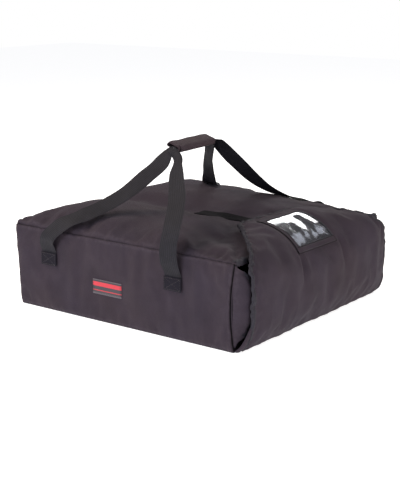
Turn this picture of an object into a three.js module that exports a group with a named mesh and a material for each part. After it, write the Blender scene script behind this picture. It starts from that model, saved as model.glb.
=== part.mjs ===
// Padded pizza delivery bag: a low square box of quilted panels, open at the front, closed by a
// deep flap that comes up from the bottom of the opening and folds back onto the top.
// Millimetres. +Z is up, the opening faces -Y, and the origin is on the floor under the middle.
import * as THREE from 'three';

// Bag body
const bagWidth = 521;
const bagDepth = 533;
const wallHeight = 165;

// Layers of every quilted panel: outer cloth, padding and lining
const clothThickness = 0.9;
const paddingThickness = 13;
const liningThickness = 0.7;
const layerGap = 0.3;
const mitreGap = 0.25;

// Sewn trim
const bindingThickness = 1.2;
const bindingReach = 12;
const bindingFoldGap = 0.95;
const pinchedShare = 0.4;
const swellRun = 25;

// Top panel
const valleyRise = 11.2;
const lobeRise = 14;
const backRise = 6;
const valleyWidth = 60;
const frontSag = 15;
const frontSetback = 16.5;
const frontRollLength = 23;
const edgeSquareness = 6;
const backSquareness = 12;
const lobeStartShare = 0.15;
const backStartShare = 0.45;
const backFullShare = 0.85;
const lobeFullShare = 0.4;

// Hook and loop strips
const stripWidth = 38;
const stripThickness = 2.3;
const loopStripBackY = 6;
const hookStripLength = 48;

// Front flap
const flapSideInset = 18.5;
const flapHalfWidth = bagWidth / 2 - flapSideInset;
const flapEndShare = 0.38;
const flapOverhang = 33.7;
const flapRise = 32;
const bendDrop = 70;
const bendSetback = 91.5;
const flapTailLength = 20;
const flapBottomZ = 2.8;
const flapTuck = 23.6;
const tuckPower = 3.4;
const bottomFillShare = 0.5;
const bottomSwellRun = 45;
const middleSquareness = 2;
const sideSquareness = 1.2;
const tangentReach = 6;
const foldGap = 0.3;

// Card pocket on the flap
const pocketWidth = 145;
const pocketLength = 107;
const pocketFromFreeEdge = 47;
const pocketFrameWidth = 12;
const pocketHemWidth = 5;
const chamferFromPocket = 17.6;
const foldFromPocket = 43.3;
const filmThickness = 0.5;
const frameThickness = 1.2;

// Side wings behind the flap
const wingHingeInset = 2.5;
const wingWidth = 60;
const wingTopDrop = 11;
const wingBottomZ = 10;
const wingTopSlope = 0.8;
const wingBottomSlope = 1.22;
const wingPadding = 9;
const wingSwell = 2.4;
const wingSeamRun = 20;
const wingSeamShare = 0.15;
const wingFullZ = 50;
const wingCalmDrop = 27;

// Webbing straps and the patches that cover their sewn ends
const webbingWidth = 38;
const webbingThickness = 1.8;
const rearStrapShare = 0.68;
const frontStrapShare = -0.49;
const strapEndDrop = 70;
const patchWidth = 40;
const patchHeight = 26;
const patchThickness = 1.2;
const patchCornerRadius = 2;
const patchOverhang = 2;
const sewnSlack = 0.5;
const strapStandOff = 12;
const ringSpacing = 10;
const passLead = 7;

// Handle grip
const gripLength = 140;
const gripWidth = 45;
const gripHeight = 24;
const gripY = 26;
const gripRise = 154;
const passageHeight = 7;
const passageCornerRadius = 1.2;
const passageClearance = 1;
const closureThickness = 2.2;
const closureInset = 6;
const closureEndShare = 0.85;
const tapeThickness = 1.1;
const tapeWidth = 14;

// Label patch on the left side
const labelWidth = 72;
const labelHeight = 29;
const labelThickness = 0.8;
const labelY = 31;
const labelZ = 69.5;
const labelCornerRadius = 1.5;

const halfWidth = bagWidth / 2;
const halfDepth = bagDepth / 2;
const rearStrapY = rearStrapShare * halfDepth;
const frontStrapY = frontStrapShare * halfDepth;
const strapEndZ = wallHeight - strapEndDrop;
const gripZ = wallHeight + gripRise;
const lerp = THREE.MathUtils.lerp;
const clamp = THREE.MathUtils.clamp;

// Solid bodies

// A closed body from corners and triangles, with its faces turned outward.
function closedBody(corners, faces) {
  let volume = 0;
  for (const [a, b, c] of faces) {
    volume += corners[a].dot(corners[b].clone().cross(corners[c]));
  }
  const turned = volume > 0 ? faces : faces.map(([a, b, c]) => [a, c, b]);
  const geometry = new THREE.BufferGeometry().setFromPoints(corners);
  geometry.setIndex(turned.flat());
  geometry.computeVertexNormals();
  return geometry;
}

// A sheet between two surfaces over a grid of columns and rows; keep picks the cells it covers.
function sheetBody(columns, rows, front, back, keep = () => true) {
  const corners = [];
  const faces = [];
  const numbers = new Map();
  const corner = (i, j, surface) => {
    const key = `${i} ${j} ${surface === front}`;
    if (!numbers.has(key)) {
      numbers.set(key, corners.length);
      corners.push(surface(columns[i], rows[j]));
    }
    return numbers.get(key);
  };
  const covered = (i, j) =>
    i >= 0 && j >= 0 && i < columns.length - 1 && j < rows.length - 1 && keep(i, j);
  const quad = (a, b, c, d) => faces.push([a, b, c], [a, c, d]);
  const wall = (i, j, k, l) =>
    quad(corner(k, l, front), corner(i, j, front), corner(i, j, back), corner(k, l, back));
  for (let i = 0; i < columns.length - 1; i += 1) {
    for (let j = 0; j < rows.length - 1; j += 1) {
      if (!covered(i, j)) continue;
      const ring = [[i, j], [i + 1, j], [i + 1, j + 1], [i, j + 1]];
      quad(...ring.map(([k, l]) => corner(k, l, front)));
      quad(...[0, 3, 2, 1].map((n) => corner(...ring[n], back)));
      if (!covered(i, j - 1)) wall(i, j, i + 1, j);
      if (!covered(i + 1, j)) wall(i + 1, j, i + 1, j + 1);
      if (!covered(i, j + 1)) wall(i + 1, j + 1, i, j + 1);
      if (!covered(i - 1, j)) wall(i, j + 1, i, j);
    }
  }
  return closedBody(corners, faces);
}

// A body through a row of rings of equal count; capQuads close its two ends. The quads of the
// ring's lower half are split the other way, so that both legs of a binding follow their panel.
function ringBody(rings, capQuads) {
  const count = rings[0].length;
  const faces = [];
  for (let n = 0; n < rings.length - 1; n += 1) {
    for (let k = 0; k < count; k += 1) {
      const a = n * count + k;
      const b = n * count + ((k + 1) % count);
      if (k >= count / 2 - 1 && k < count - 2) {
        faces.push([a, b, a + count], [b, b + count, a + count]);
      } else {
        faces.push([a, b, b + count], [a, b + count, a + count]);
      }
    }
  }
  const last = (rings.length - 1) * count;
  for (const [a, b, c, d] of capQuads) {
    faces.push([a, c, b], [a, d, c]);
    faces.push([last + a, last + b, last + c], [last + a, last + c, last + d]);
  }
  return closedBody(rings.flat(), faces);
}

// The U section of a binding folded over an edge. point maps a pattern place and a height through
// the panel to space; inner is the end of the U's legs, edge the cut edge, out the way off it.
function bindingRing(point, inner, edge, out, over, under) {
  const away = (distance) => edge.map((value, n) => value + out[n] * distance);
  const outside = away(bindingFoldGap + bindingThickness);
  const inside = away(bindingFoldGap);
  return [
    point(inner, over.near), point(inner, over.far),
    point(outside, over.far), point(outside, under.far),
    point(inner, under.far), point(inner, under.near),
    point(inside, under.near), point(inside, over.near),
  ];
}

const bindingCaps = [[0, 1, 2, 7], [7, 2, 3, 6], [6, 3, 4, 5]];
const ribbonCaps = [[0, 1, 2, 3]];

function roundedOutline(width, height, radius) {
  const x = width / 2;
  const y = height / 2;
  const quarter = Math.PI / 2;
  const outline = new THREE.Shape();
  outline.moveTo(x - radius, -y);
  outline.absarc(x - radius, -y + radius, radius, -quarter, 0);
  outline.absarc(x - radius, y - radius, radius, 0, quarter);
  outline.absarc(-x + radius, y - radius, radius, quarter, 2 * quarter);
  outline.absarc(-x + radius, -y + radius, radius, 2 * quarter, 3 * quarter);
  outline.closePath();
  return outline;
}

// Materials

const colours = {
  cloth: 0x3a3437, padding: 0xd8d6cf, lining: 0x2c2a2d, binding: 0x4b484b, webbing: 0x3c3c42,
  loop: 0x2f2d33, hook: 0x26252a, label: 0x77706f, film: 0xe4e6ea,
};

function finish(colour, roughness) {
  return new THREE.MeshStandardMaterial({ color: colours[colour], roughness, metalness: 0 });
}

const bag = new THREE.Group();

function addPiece(name, geometry, colour, roughness = 0.9) {
  const piece = new THREE.Mesh(geometry, finish(colour, roughness));
  piece.name = name;
  bag.add(piece);
  return piece;
}

// Depths of the faces of the layers below a panel's outer face, for padding of one thickness.
function layerDepths(padding) {
  const paddingTop = clothThickness + layerGap;
  const paddingBase = paddingTop + padding;
  const liningTop = paddingBase + layerGap;
  return {
    shell: [0, clothThickness],
    padding: [paddingTop, paddingBase],
    lining: [liningTop, liningTop + liningThickness],
  };
}

const layerColours = { shell: 'cloth', padding: 'padding', lining: 'lining' };

// Adds the three layers of a panel whose surface takes a column, a row and a depth.
function addLayers(name, columns, rows, surface, paddingAt = () => paddingThickness) {
  for (const [layer, colour] of Object.entries(layerColours)) {
    const face = (side) => (column, row) =>
      surface(column, row, layerDepths(paddingAt(column, row))[layer][side]);
    addPiece(`${name}_${layer}`, sheetBody(columns, rows, face(0), face(1)), colour);
  }
}

// Base, back and side panels, mitred to each other along their seams

const seamInset = (depth) => depth + mitreGap;
const wholeSpan = [0, 1];
const bothSides = [-1, 1];
const frontY = -halfDepth;

function wallPlaceY(share, depth) {
  return lerp(frontY, halfDepth - seamInset(depth), share);
}

function wallPlaceZ(share, depth) {
  return lerp(seamInset(depth), wallHeight - seamInset(depth), share);
}

function addWalls() {
  addLayers('base', bothSides, wholeSpan, (across, share, depth) =>
    new THREE.Vector3(across * (halfWidth - seamInset(depth)), wallPlaceY(share, depth), depth));
  addLayers('back', bothSides, wholeSpan, (across, share, depth) => new THREE.Vector3(
    across * (halfWidth - seamInset(depth)), halfDepth - depth, wallPlaceZ(share, depth)));
  for (const [name, side] of [['left', -1], ['right', 1]]) {
    addLayers(name, wholeSpan, wholeSpan, (along, share, depth) => new THREE.Vector3(
      side * (halfWidth - depth), wallPlaceY(along, depth), wallPlaceZ(share, depth)));
  }
}

// Top panel: two soft lobes with a valley between them, rolling down to a sagging front edge

const ramp = (value) => clamp(value, 0, 1);
const smooth = (value) => ramp(value) ** 2 * (3 - 2 * ramp(value));

function topFrontY(across) {
  return frontY + frontSetback * (1 - across ** 2);
}

function topCrown(across, fromFront) {
  const share = ramp(fromFront / (halfDepth - topFrontY(across)));
  const x = across * halfWidth;
  const roll = Math.exp(-fromFront / frontRollLength);
  const valley = 1 - Math.exp(-((x / valleyWidth) ** 2));
  const lobe = lobeRise * smooth((share - lobeStartShare) / (lobeFullShare - lobeStartShare));
  const back = backRise * smooth((share - backStartShare) / (backFullShare - backStartShare));
  const fallBack = 1 - share ** backSquareness;
  const crown = valleyRise * (1 - roll) + (lobe + back) * valley;
  const rise = crown * fallBack * (1 - Math.abs(across) ** edgeSquareness);
  return rise - frontSag * roll * (1 - across ** 2);
}

function topPoint(across, fromFront, depth) {
  return new THREE.Vector3(
    across * (halfWidth - seamInset(depth)),
    topFrontY(across) + fromFront,
    wallHeight - depth + topCrown(across, fromFront),
  );
}

// Rows of the top panel are distances from its front edge; the last one is the mitred back edge.
const backEdge = Infinity;

function topSurface(across, fromFront, depth) {
  const length = halfDepth - seamInset(depth) - topFrontY(across);
  return topPoint(across, Math.min(fromFront, length), depth);
}

function topPadding(across, fromFront) {
  return paddingThickness * lerp(pinchedShare, 1, ramp((fromFront - bindingReach) / swellRun));
}

const stripShare = stripWidth / bagWidth;
const topColumnShares = [-1, -0.985, -0.94, -0.83, -0.66, -0.46, -0.26, -0.14];
const topColumns = [
  ...topColumnShares, -stripShare, 0, stripShare, ...topColumnShares.map((share) => -share).reverse(),
];
const stripColumn = topColumns.indexOf(-stripShare);
const loopStripLength = loopStripBackY - topFrontY(0);
const topRowShares = [0.14, 0.24, 0.36, 0.5, 0.66, 0.82, 1, 1.17, 1.34, 1.52, 1.68, 1.78];
const topRows = [0, bindingReach, ...topRowShares.map((share) => share * loopStripLength), backEdge];

function addTop() {
  addLayers('top', topColumns, topRows, topSurface, topPadding);
  const strip = (height) => (across, fromFront) => topSurface(across, fromFront, -height);
  const lastRow = topRows.indexOf(loopStripLength);
  addPiece('top_loop_strip', sheetBody(
    topColumns, topRows, strip(layerGap + stripThickness), strip(layerGap),
    (i, j) => i >= stripColumn && i < stripColumn + 2 && j >= 2 && j < lastRow,
  ), 'loop', 1);
  const stack = layerDepths(paddingThickness * pinchedShare).lining[1];
  const ease = 2 * layerGap;
  const over = { near: -ease, far: -ease - bindingThickness };
  const under = { near: stack + ease, far: stack + ease + bindingThickness };
  const point = ([across, fromFront], depth) => topPoint(across, fromFront, depth);
  addPiece('top_front_binding', ringBody(topColumns.slice(1, -1).map((across) => bindingRing(
    point, [across, bindingReach], [across, 0], [0, -1], over, under)), bindingCaps), 'binding');
}

// Front flap: laid out flat by its pattern, x across and s along from the bottom seam, then
// carried onto the profile of the closed bag

const fullStack = layerDepths(paddingThickness).lining[1];
const bendEndY = halfDepth - bendSetback;
const bendDepthY = bendSetback + flapOverhang - fullStack / 2;
const bendStartZ = wallHeight - bendDrop;
const bendHeightZ = bendDrop + flapRise - fullStack / 2;
const bendCount = 48;
const tuckCount = 12;

// Middle of the flap's thickness as places (y, z), from the bottom seam to the free edge.
function flapProfile(squareness) {
  const places = [];
  for (let n = 0; n < tuckCount; n += 1) {
    const z = lerp(flapBottomZ, bendStartZ, n / tuckCount);
    const y = -bendEndY - bendDepthY + flapTuck * (1 - z / bendStartZ) ** tuckPower;
    places.push(new THREE.Vector2(y, z));
  }
  for (let n = 0; n <= bendCount; n += 1) {
    const turn = (Math.PI / 2) * (1 - n / bendCount);
    const y = -bendEndY - bendDepthY * Math.sin(turn) ** (2 / squareness);
    const z = bendStartZ + bendHeightZ * Math.max(Math.cos(turn), 0) ** (2 / squareness);
    places.push(new THREE.Vector2(y, z));
  }
  places.push(new THREE.Vector2(-bendEndY + flapTailLength, bendStartZ + bendHeightZ));
  return places;
}

function pathLengths(places) {
  const lengths = [0];
  for (let n = 1; n < places.length; n += 1) {
    lengths.push(lengths[n - 1] + places[n].distanceTo(places[n - 1]));
  }
  return lengths;
}

function placeAt(places, lengths, distance) {
  let n = 1;
  while (n < places.length - 1 && lengths[n] < distance) n += 1;
  const share = (distance - lengths[n - 1]) / (lengths[n] - lengths[n - 1]);
  return places[n - 1].clone().lerp(places[n], share);
}

const flapLength = pathLengths(flapProfile(middleSquareness)).at(-1);

function flapPoint([x, s], height) {
  const across = ramp(Math.abs(x) / flapHalfWidth);
  const places = flapProfile(middleSquareness + sideSquareness * across ** 2);
  const lengths = pathLengths(places);
  const distance = (s / flapLength) * lengths.at(-1);
  const middle = placeAt(places, lengths, distance);
  const along = placeAt(places, lengths, distance + tangentReach)
    .sub(placeAt(places, lengths, distance - tangentReach)).normalize();
  return new THREE.Vector3(x, middle.x - along.y * height, middle.y + along.x * height);
}

const pocketTop = flapLength - pocketFromFreeEdge;
const pocketBottom = pocketTop - pocketLength;
const chamferStart = pocketBottom + chamferFromPocket;
const foldLine = pocketBottom + foldFromPocket;
const chamferSlope = (flapHalfWidth * (1 - flapEndShare)) / (flapLength - chamferStart);
const flapEdge = (s) => flapHalfWidth - chamferSlope * Math.max(s - chamferStart, 0);
const chamferLean = Math.hypot(1, chamferSlope);
const edgeInset = (s) => bindingReach * (s < chamferStart ? 1 : chamferLean);

function flapPadding(x, s) {
  const fromBinding = flapEdge(s) - edgeInset(s) - Math.abs(x);
  const side = lerp(pinchedShare, 1, ramp(fromBinding / swellRun));
  const bottom = lerp(bottomFillShare, 1, ramp(s / bottomSwellRun));
  const end = lerp(pinchedShare, 1, ramp((flapLength - bindingReach - s) / swellRun));
  return paddingThickness * Math.min(side, bottom, end);
}

const halfStack = (padding) => layerDepths(padding).lining[1] / 2;
const pocketHalf = pocketWidth / 2;
const betweenShares = [0.36, 0.72];

// Each column of the flap is a line up the pattern: x as a function of s.
const outerLines = [
  (s) => flapEdge(s),
  (s) => flapEdge(s) - edgeInset(s),
  ...betweenShares.toReversed().map((share) => (s) =>
    lerp(pocketHalf, flapEdge(s) - edgeInset(s), share)),
];
const flapColumns = [
  ...outerLines.map((line) => (s) => -line(s)),
  () => -pocketHalf,
  () => -pocketHalf + pocketFrameWidth,
  () => 0,
  () => pocketHalf - pocketHemWidth,
  () => pocketHalf,
  ...outerLines.toReversed(),
];
const pocketColumn = outerLines.length;

const spread = (start, end, count) =>
  Array.from({ length: count }, (_, n) => lerp(start, end, n / count));
const lowerRows = [
  ...spread(0, bottomSwellRun, 3), ...spread(bottomSwellRun, pocketBottom, 4),
  pocketBottom, pocketBottom + pocketFrameWidth, chamferStart,
  (chamferStart + foldLine) / 2, foldLine - foldGap / 2,
];
const upperRows = [
  foldLine + foldGap / 2, ...spread(foldLine, pocketTop - pocketFrameWidth, 4).slice(1),
  pocketTop - pocketFrameWidth, pocketTop, (pocketTop + flapLength - 2 * bindingReach) / 2,
  flapLength - 2 * bindingReach, flapLength - bindingReach, flapLength,
];

function flapSurface(line, s, depth) {
  const x = line(s);
  return flapPoint([x, s], halfStack(flapPadding(x, s)) - depth);
}

const trimHeights = (padding) => {
  const near = halfStack(padding) + layerGap;
  const far = near + bindingThickness;
  return { over: { near, far }, under: { near: -near, far: -far } };
};

function flapEdgeRing(side, s) {
  const { over, under } = trimHeights(flapPadding(flapEdge(s), s));
  const inner = [side * (flapEdge(s) - edgeInset(s)), s];
  return bindingRing(flapPoint, inner, [side * flapEdge(s), s], [side, 0], over, under);
}

function flapEndRing(x) {
  const { over, under } = trimHeights(paddingThickness * pinchedShare);
  const inner = [x, flapLength - bindingReach];
  return bindingRing(flapPoint, inner, [x, flapLength], [0, 1], over, under);
}

function flapCornerRing(side) {
  const { over, under } = trimHeights(paddingThickness * pinchedShare);
  const s = flapLength - bindingReach;
  const inner = [side * (flapEdge(s) - edgeInset(s)), s];
  const edge = [side * flapEdge(flapLength), flapLength];
  return bindingRing(flapPoint, inner, edge, [side, 1], over, under);
}

function addFlap() {
  const padding = (line, s) => flapPadding(line(s), s);
  addLayers('flap_lower', flapColumns, lowerRows, flapSurface, padding);
  addLayers('flap_upper', flapColumns, upperRows, flapSurface, padding);
  for (const [name, side] of [['left', -1], ['right', 1]]) {
    const rows = side < 0 ? lowerRows : lowerRows.toReversed();
    const rings = rows.map((s) => flapEdgeRing(side, s));
    addPiece(`flap_binding_lower_${name}`, ringBody(rings, bindingCaps), 'binding');
  }
  const climb = upperRows.slice(0, -2);
  const rings = [
    ...climb.map((s) => flapEdgeRing(-1, s)), flapCornerRing(-1),
    flapEndRing(0),
    flapCornerRing(1), ...climb.toReversed().map((s) => flapEdgeRing(1, s)),
  ];
  addPiece('flap_binding_upper', ringBody(rings, bindingCaps), 'binding');
}

// Hook strip under the flap's end, which grips the loop strip of the top panel.
function addHookStrip() {
  const end = flapLength - bindingReach - layerGap;
  const columns = [-stripWidth / 2, stripWidth / 2];
  const rows = spread(end - hookStripLength, end, 4).concat(end);
  const face = (drop) => (x, s) => flapPoint([x, s], -halfStack(paddingThickness) - drop);
  const body = sheetBody(columns, rows, face(layerGap), face(layerGap + stripThickness));
  addPiece('flap_hook_strip', body, 'hook', 1);
}

// Clear pocket across the bend: a film bound on three sides, hemmed at its open right side.
function addPocketHalf(name, rows) {
  const face = (lift) => (line, s) => flapSurface(line, s, -lift);
  const filmTop = layerGap + filmThickness;
  const first = pocketColumn;
  const last = pocketColumn + 3;
  const inside = (i, j) =>
    i >= first && i <= last && rows[j] > pocketBottom - layerGap && rows[j + 1] < pocketTop + layerGap;
  const onFrame = (i, j) => {
    const low = rows[j] < pocketBottom + layerGap;
    const high = rows[j + 1] > pocketTop - layerGap;
    return inside(i, j) && (i === first || i === last || low || high);
  };
  const film = sheetBody(flapColumns, rows, face(filmTop), face(layerGap), inside);
  addPiece(`pocket_film_${name}`, film, 'film', 0.12);
  const frameTop = filmTop + layerGap + frameThickness;
  const frame = sheetBody(flapColumns, rows, face(frameTop), face(filmTop + layerGap), onFrame);
  addPiece(`pocket_frame_${name}`, frame, 'binding');
}

// Side wings: small padded flaps sewn to the front edges of the sides, lying behind the flap

const wingHingeX = halfWidth - wingHingeInset;
const wingTopZ = wallHeight - wingTopDrop;
const wingCalmZ = wingTopZ - wingCalmDrop;
const wingBase = (w) => wingBottomZ + wingBottomSlope * w;
const wingCrest = (w) => wingTopZ - wingTopSlope * w;
const wingColumnShares = [0, 0.13, 0.33, 0.58, 0.83, 1];
const wingColumns = wingColumnShares.map((share) => share * wingWidth);
const wingInnerWidth = wingColumns.at(-2);
const wingTrimReach = wingWidth - wingInnerWidth;

// Rows of a wing are heights between its slanted edges, with one row at the legs of each binding.
const wingRows = [
  wingBase,
  (w) => wingBase(w) + wingTrimReach,
  (w) => (wingBase(w) + wingCrest(w)) / 2,
  (w) => wingCrest(w) - wingTrimReach,
  wingCrest,
];

function wingFill(w, z) {
  const seam = lerp(wingSeamShare, 1, ramp(w / wingSeamRun));
  const room = Math.min(z - wingBase(w), wingCrest(w) - z, wingWidth - w) - wingTrimReach;
  return wingPadding * Math.min(seam, lerp(pinchedShare, 1, ramp(room / wingTrimReach)));
}

function wingPoint(side, [w, z], height) {
  const full = ramp(z / wingFullZ) - smooth((z - wingCalmZ) / (wingTopZ - wingCalmZ));
  const seamStack = halfStack(wingPadding * lerp(wingSeamShare, 1, ramp(w / wingSeamRun)));
  const trimRoom = (layerGap + bindingThickness) * ramp(w / wingColumns[1]);
  const middle = layerGap + seamStack + trimRoom + wingSwell * full * ramp(w / wingSeamRun);
  return new THREE.Vector3(side * (wingHingeX - w), frontY - middle - height, z);
}

function wingTrimRing(side, inner, edge, out) {
  const { over, under } = trimHeights(wingFill(...edge));
  return bindingRing((place, height) => wingPoint(side, place, height), inner, edge, out, over, under);
}

function addWing(name, side) {
  const surface = (w, row, depth) =>
    wingPoint(side, [w, row(w)], halfStack(wingFill(w, row(w))) - depth);
  addLayers(`wing_${name}`, wingColumns, wingRows, surface, (w, row) => wingFill(w, row(w)));
  const walked = wingColumns.slice(1, -2);
  const lowRing = (w) => wingTrimRing(side, [w, wingBase(w) + wingTrimReach], [w, wingBase(w)], [0, -1]);
  const highRing = (w) => wingTrimRing(side, [w, wingCrest(w) - wingTrimReach], [w, wingCrest(w)], [0, 1]);
  const lowCorner = wingTrimRing(side, [wingInnerWidth, wingBase(wingInnerWidth) + wingTrimReach],
    [wingWidth, wingBase(wingWidth)], [1, -1]);
  const highCorner = wingTrimRing(side, [wingInnerWidth, wingCrest(wingInnerWidth) - wingTrimReach],
    [wingWidth, wingCrest(wingWidth)], [1, 1]);
  const rings = [
    ...walked.map(lowRing), lowCorner, highCorner, ...walked.toReversed().map(highRing),
  ];
  addPiece(`wing_${name}_binding`, ringBody(rings, bindingCaps), 'binding');
}

// Straps: each crosses the bag from one side panel to the other and runs through the grip

const strapFaceX = halfWidth + layerGap + sewnSlack + webbingThickness / 2;
const gripEndX = gripLength / 2;
const seamZ = wallHeight;

// Places of a leg, from its sewn end to the middle of the grip, as it lies on the +X side. The
// fourth number is the webbing's twist there, in degrees, about its run from left to right.
function strapLeg(endY, bends, passZ) {
  const start = [
    [strapFaceX, endY, strapEndZ, 0],
    [strapFaceX, endY, strapEndZ + patchHeight, 0],
  ];
  const pass = [
    [gripEndX, gripY, passZ, 0],
    [gripEndX - passLead, gripY, passZ, 0],
    [gripEndX / 2, gripY, passZ, 0],
  ];
  return [...start, ...bends, ...pass];
}

// The free run of each leg is chosen by hand: distance from the bag's middle, place along the bag
// and height, given from the bag's side, the sewn end and the top seam, and the twist.
const rearMouth = [gripEndX + 9, gripY + 1, gripZ - 5.5, 0];
const frontMouthLeft = [gripEndX + 16, gripY - 7, gripZ - 0.5, -4];
const frontMouthRight = [gripEndX + 18, gripY - 6, gripZ - 0.5, 0];
const rearLegLeft = [
  [strapFaceX + strapStandOff / 3, rearStrapY - 1, seamZ - 36, 0],
  [strapFaceX + strapStandOff, rearStrapY - 8, seamZ - 16, -8],
  [strapFaceX + strapStandOff * 0.6, rearStrapY - 24, seamZ + 4, -10],
  [halfWidth - 2, rearStrapY - 47, seamZ + 21, 0],
  [halfWidth - 27, rearStrapY - 71, seamZ + 34, 14],
  [halfWidth - 61, rearStrapY - 93, seamZ + 49, 12],
  [halfWidth - 96, rearStrapY - 117, seamZ + 71, 8],
  [halfWidth - 130, rearStrapY - 136, seamZ + 98, 13],
  [halfWidth - 158, rearStrapY - 148, seamZ + 122, 8],
  rearMouth,
];
const rearLegRight = [
  [strapFaceX + strapStandOff / 3, rearStrapY, seamZ - 36, 0],
  [strapFaceX + strapStandOff * 0.8, rearStrapY - 3, seamZ - 12, 0],
  [halfWidth + 7, rearStrapY - 12, seamZ + 10, 0],
  [halfWidth - 22, rearStrapY - 30, seamZ + 24, 0],
  [halfWidth - 56, rearStrapY - 54, seamZ + 32, 0],
  [halfWidth - 91, rearStrapY - 78, seamZ + 39, 6],
  [halfWidth - 122, rearStrapY - 99, seamZ + 52, 15],
  [halfWidth - 147, rearStrapY - 117, seamZ + 79, 20],
  [halfWidth - 165, rearStrapY - 134, seamZ + 112, 30],
  rearMouth,
];
const frontLegLeft = [
  [strapFaceX + strapStandOff / 3, frontStrapY - 1, seamZ - 36, 0],
  [strapFaceX + strapStandOff, frontStrapY - 1, seamZ - 20, 4],
  [strapFaceX + strapStandOff * 1.2, frontStrapY, seamZ, 3],
  [strapFaceX + strapStandOff, frontStrapY, seamZ + 20, 0],
  [halfWidth + 4, frontStrapY + 1, seamZ + 42, 0],
  [halfWidth - 14, frontStrapY + 9, seamZ + 62, -2],
  [halfWidth - 42, frontStrapY + 25, seamZ + 82, -10],
  [halfWidth - 81, frontStrapY + 53, seamZ + 100, -24],
  [halfWidth - 126, frontStrapY + 88, seamZ + 120.5, -30],
  [halfWidth - 163, frontStrapY + 118, seamZ + 140, -22],
  frontMouthLeft,
];
const frontLegRight = [
  [strapFaceX + strapStandOff / 3, frontStrapY + 2, seamZ - 36, 0],
  [strapFaceX + strapStandOff * 0.8, frontStrapY + 13, seamZ - 12, 0],
  [halfWidth + 9, frontStrapY + 32, seamZ - 1, 0],
  [halfWidth - 16, frontStrapY + 54, seamZ + 14, 0],
  [halfWidth - 50, frontStrapY + 72, seamZ + 27, 0],
  [halfWidth - 86, frontStrapY + 92, seamZ + 55, -4],
  [halfWidth - 118, frontStrapY + 109, seamZ + 87, -12],
  [halfWidth - 148, frontStrapY + 127, seamZ + 123, -14],
  frontMouthRight,
];

// A webbing strap along its left leg, the passage through the grip and its right leg. Untwisted,
// its width lies along Y, and its face is outward at the sewn ends and upward in the grip.
function strapBody(endY, leftBends, rightBends, passZ) {
  const left = strapLeg(endY, leftBends, passZ).map(([x, ...rest]) => [-x, ...rest]);
  const right = strapLeg(endY, rightBends, passZ).reverse();
  const places = [...left, ...right];
  const bends = places.map(([x, y, z]) => new THREE.Vector3(x, y, z));
  const twists = places.map(([, , , twist]) => THREE.MathUtils.degToRad(twist));
  const route = new THREE.CatmullRomCurve3(bends, false, 'centripetal');
  const count = Math.round(route.getLength() / ringSpacing);
  const rings = [];
  for (let n = 0; n <= count; n += 1) {
    const middle = route.getPointAt(n / count);
    const along = route.getTangentAt(n / count);
    const reached = route.getUtoTmapping(n / count) * (places.length - 1);
    const last = Math.min(Math.floor(reached), places.length - 2);
    const twist = THREE.MathUtils.lerp(twists[last], twists[last + 1], reached - last);
    const across = new THREE.Vector3(0, -1, 0)
      .projectOnPlane(along).normalize().applyAxisAngle(along, twist);
    const face = across.clone().cross(along);
    rings.push([[-1, -1], [1, -1], [1, 1], [-1, 1]].map(([u, v]) => middle.clone()
      .addScaledVector(across, (u * webbingWidth) / 2)
      .addScaledVector(face, (v * webbingThickness) / 2)));
  }
  return ringBody(rings, ribbonCaps);
}

const strapLift = (webbingThickness + 2 * layerGap) / 2;

function addStraps() {
  const rear = strapBody(rearStrapY, rearLegLeft, rearLegRight, gripZ - strapLift);
  const front = strapBody(frontStrapY, frontLegLeft, frontLegRight, gripZ + strapLift);
  addPiece('strap_rear', rear, 'webbing', 0.8);
  addPiece('strap_front', front, 'webbing', 0.8);
}

// A thin plate of cloth laid against a side panel, centred on a place and turned to face out.
function sidePlate(name, side, width, height, thickness, radius, offset, y, z, colour) {
  const outline = roundedOutline(width, height, radius);
  const plate = new THREE.ExtrudeGeometry(outline, {
    depth: thickness, bevelEnabled: false, curveSegments: 3,
  });
  const piece = addPiece(name, plate, colour);
  const basis = new THREE.Matrix4().makeBasis(
    new THREE.Vector3(0, side, 0), new THREE.Vector3(0, 0, 1), new THREE.Vector3(side, 0, 0));
  piece.quaternion.setFromRotationMatrix(basis);
  piece.position.set(side * (halfWidth + offset), y, z);
}

function addPatches() {
  const offset = 2 * layerGap + webbingThickness + 2 * sewnSlack;
  for (const [sideName, side] of [['left', -1], ['right', 1]]) {
    for (const [place, y] of [['rear', rearStrapY], ['front', frontStrapY]]) {
      sidePlate(`strap_patch_${place}_${sideName}`, side, patchWidth, patchHeight, patchThickness,
        patchCornerRadius, offset, y, strapEndZ + patchHeight / 2 - patchOverhang, 'cloth');
    }
  }
}

// Grip: a padded sleeve round both straps, closed by a cover with hook and loop tapes

const gripRadius = gripHeight / 2;
const gripFlat = gripWidth / 2 - gripRadius;
const closureStandOff = 2 * tapeThickness + 3 * layerGap;

function addGrip() {
  const outline = roundedOutline(gripWidth, gripHeight, gripRadius);
  outline.holes.push(roundedOutline(
    webbingWidth + 2 * passageClearance, passageHeight, passageCornerRadius));
  const sleeve = new THREE.ExtrudeGeometry(outline, {
    depth: gripLength, bevelEnabled: false, curveSegments: 5,
  });
  placeAlongGrip(addPiece('grip_wrap', sleeve, 'cloth'), gripEndX);
}

// Turns a section drawn in (y, z) about the grip's middle so that it runs along X.
function placeAlongGrip(piece, start) {
  const basis = new THREE.Matrix4().makeBasis(
    new THREE.Vector3(0, 1, 0), new THREE.Vector3(0, 0, 1), new THREE.Vector3(1, 0, 0));
  piece.quaternion.setFromRotationMatrix(basis);
  piece.position.set(-start, gripY, gripZ);
}

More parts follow.
